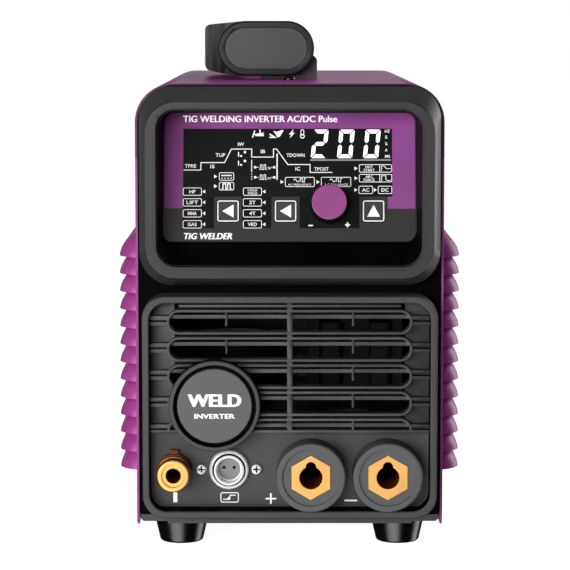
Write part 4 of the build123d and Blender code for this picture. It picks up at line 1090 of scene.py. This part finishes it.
def map_range(tree, source, start, end, low, high):
    node = tree.nodes.new("ShaderNodeMapRange")
    node.interpolation_type = "SMOOTHSTEP"
    node.inputs["From Min"].default_value = start
    node.inputs["From Max"].default_value = end
    node.inputs["To Min"].default_value = low
    node.inputs["To Max"].default_value = high
    tree.links.new(source, node.inputs["Value"])
    return node.outputs["Result"]


def arithmetic(tree, operation, first, second):
    node = tree.nodes.new("ShaderNodeMath")
    node.operation = operation
    tree.links.new(first, node.inputs[0])
    tree.links.new(second, node.inputs[1])
    return node.outputs["Value"]


def glow(tree, direction, way, reach, strength):
    """Soft round light in the surroundings, of an angular radius in degrees."""
    dot = tree.nodes.new("ShaderNodeVectorMath")
    dot.operation = "DOT_PRODUCT"
    tree.links.new(direction, dot.inputs[0])
    dot.inputs[1].default_value = way
    return map_range(tree, dot.outputs["Value"], math.cos(math.radians(reach)), 1.0, 0.0, strength)


# Brightness of the surroundings by height, from straight below (0) to straight above (1).
SKY = ((0.0, 0.02), (0.40, 0.06), (0.53, 1.0), (0.62, 0.8), (0.9, 0.3))
# Soft lights in the surroundings: azimuth, elevation, angular radius, strength.
GLOWS = ((-24, -36, 34, 4.6), (108, -30, 20, 3.4))


def sky_ramp(tree, height):
    sky = tree.nodes.new("ShaderNodeValToRGB")
    stops = sky.color_ramp.elements
    stops[0].position, stops[1].position = SKY[0][0], SKY[-1][0]
    for place, grey in SKY[1:-1]:
        stops.new(place)
    for stop, (place, grey) in zip(stops, SKY):
        stop.color = (grey, grey, grey, 1)
    tree.links.new(height, sky.inputs["Fac"])
    return sky.outputs["Color"]


def studio_world():
    """White for the camera; as light it is bright behind the machine, dim in front, below and at the left."""
    world = bpy.data.worlds.new("studio")
    world.use_nodes = True
    tree = world.node_tree
    shade = tree.nodes["Background"]
    direction = tree.nodes.new("ShaderNodeTexCoord").outputs["Generated"]
    split = tree.nodes.new("ShaderNodeSeparateXYZ")
    tree.links.new(direction, split.inputs["Vector"])
    depth = map_range(tree, split.outputs["Y"], -0.6, 0.9, 0.16, 0.75)
    side = map_range(tree, split.outputs["X"], -0.9, 0.3, 0.35, 1.0)
    height = map_range(tree, split.outputs["Z"], -1.0, 1.0, 0.0, 1.0)
    total = arithmetic(tree, "MULTIPLY", arithmetic(tree, "MULTIPLY", depth, side), sky_ramp(tree, height))
    for azimuth, elevation, reach, strength in GLOWS:
        light = glow(tree, direction, bearing(azimuth, elevation), reach, strength)
        total = arithmetic(tree, "ADD", total, light)
    tree.links.new(total, shade.inputs["Strength"])
    shade.inputs["Color"].default_value = (1, 1, 1, 1)
    plain = tree.nodes.new("ShaderNodeBackground")
    plain.inputs["Color"].default_value = (1, 1, 1, 1)
    plain.inputs["Strength"].default_value = 1.0
    ray = tree.nodes.new("ShaderNodeLightPath")
    choice = tree.nodes.new("ShaderNodeMixShader")
    tree.links.new(ray.outputs["Is Camera Ray"], choice.inputs["Fac"])
    tree.links.new(shade.outputs["Background"], choice.inputs[1])
    tree.links.new(plain.outputs["Background"], choice.inputs[2])
    tree.links.new(choice.outputs["Shader"], tree.nodes["World Output"].inputs["Surface"])
    bpy.context.scene.world = world


def soft_box(name, azimuth, elevation, distance, size, power):
    """Area light that looks at the machine from a bearing; metres and watts."""
    middle = Vector((0, 0, 0.15))
    place = middle + bearing(azimuth, elevation) * distance
    data = bpy.data.lights.new(name, "AREA")
    data.shape = "RECTANGLE"
    data.size, data.size_y = size
    data.energy = power
    lamp = bpy.data.objects.new(name, data)
    lamp.location = place
    lamp.rotation_euler = (middle - place).to_track_quat("-Z", "Y").to_euler()
    bpy.context.scene.collection.objects.link(lamp)


def lighting():
    studio_world()
    soft_box("key_front_left", -25, 6, 2.6, (2.2, 0.9), 48)
    soft_box("rim_right", 118, 12, 1.8, (0.8, 1.6), 17)


def camera():
    """Long lens in front of the machine and a little above it."""
    left, ahead, above = 4.73, 1430, 305.85  # eye from the middle plane, the front plane and the floor
    tilt, turn = 5.935, 0.079  # down and to the right
    data = bpy.data.cameras.new("view")
    data.sensor_width = 36.0
    data.lens = 159.5
    data.clip_end = 100
    eye = bpy.data.objects.new("view", data)
    eye.location = (-left * MM, FRONT_Y - ahead * MM, above * MM)
    eye.rotation_euler = (math.radians(90 - tilt), 0, -math.radians(turn))
    bpy.context.scene.collection.objects.link(eye)
    bpy.context.scene.camera = eye


stage_floor()
lighting()
camera()
bpy.context.scene.view_settings.view_transform = "Standard"
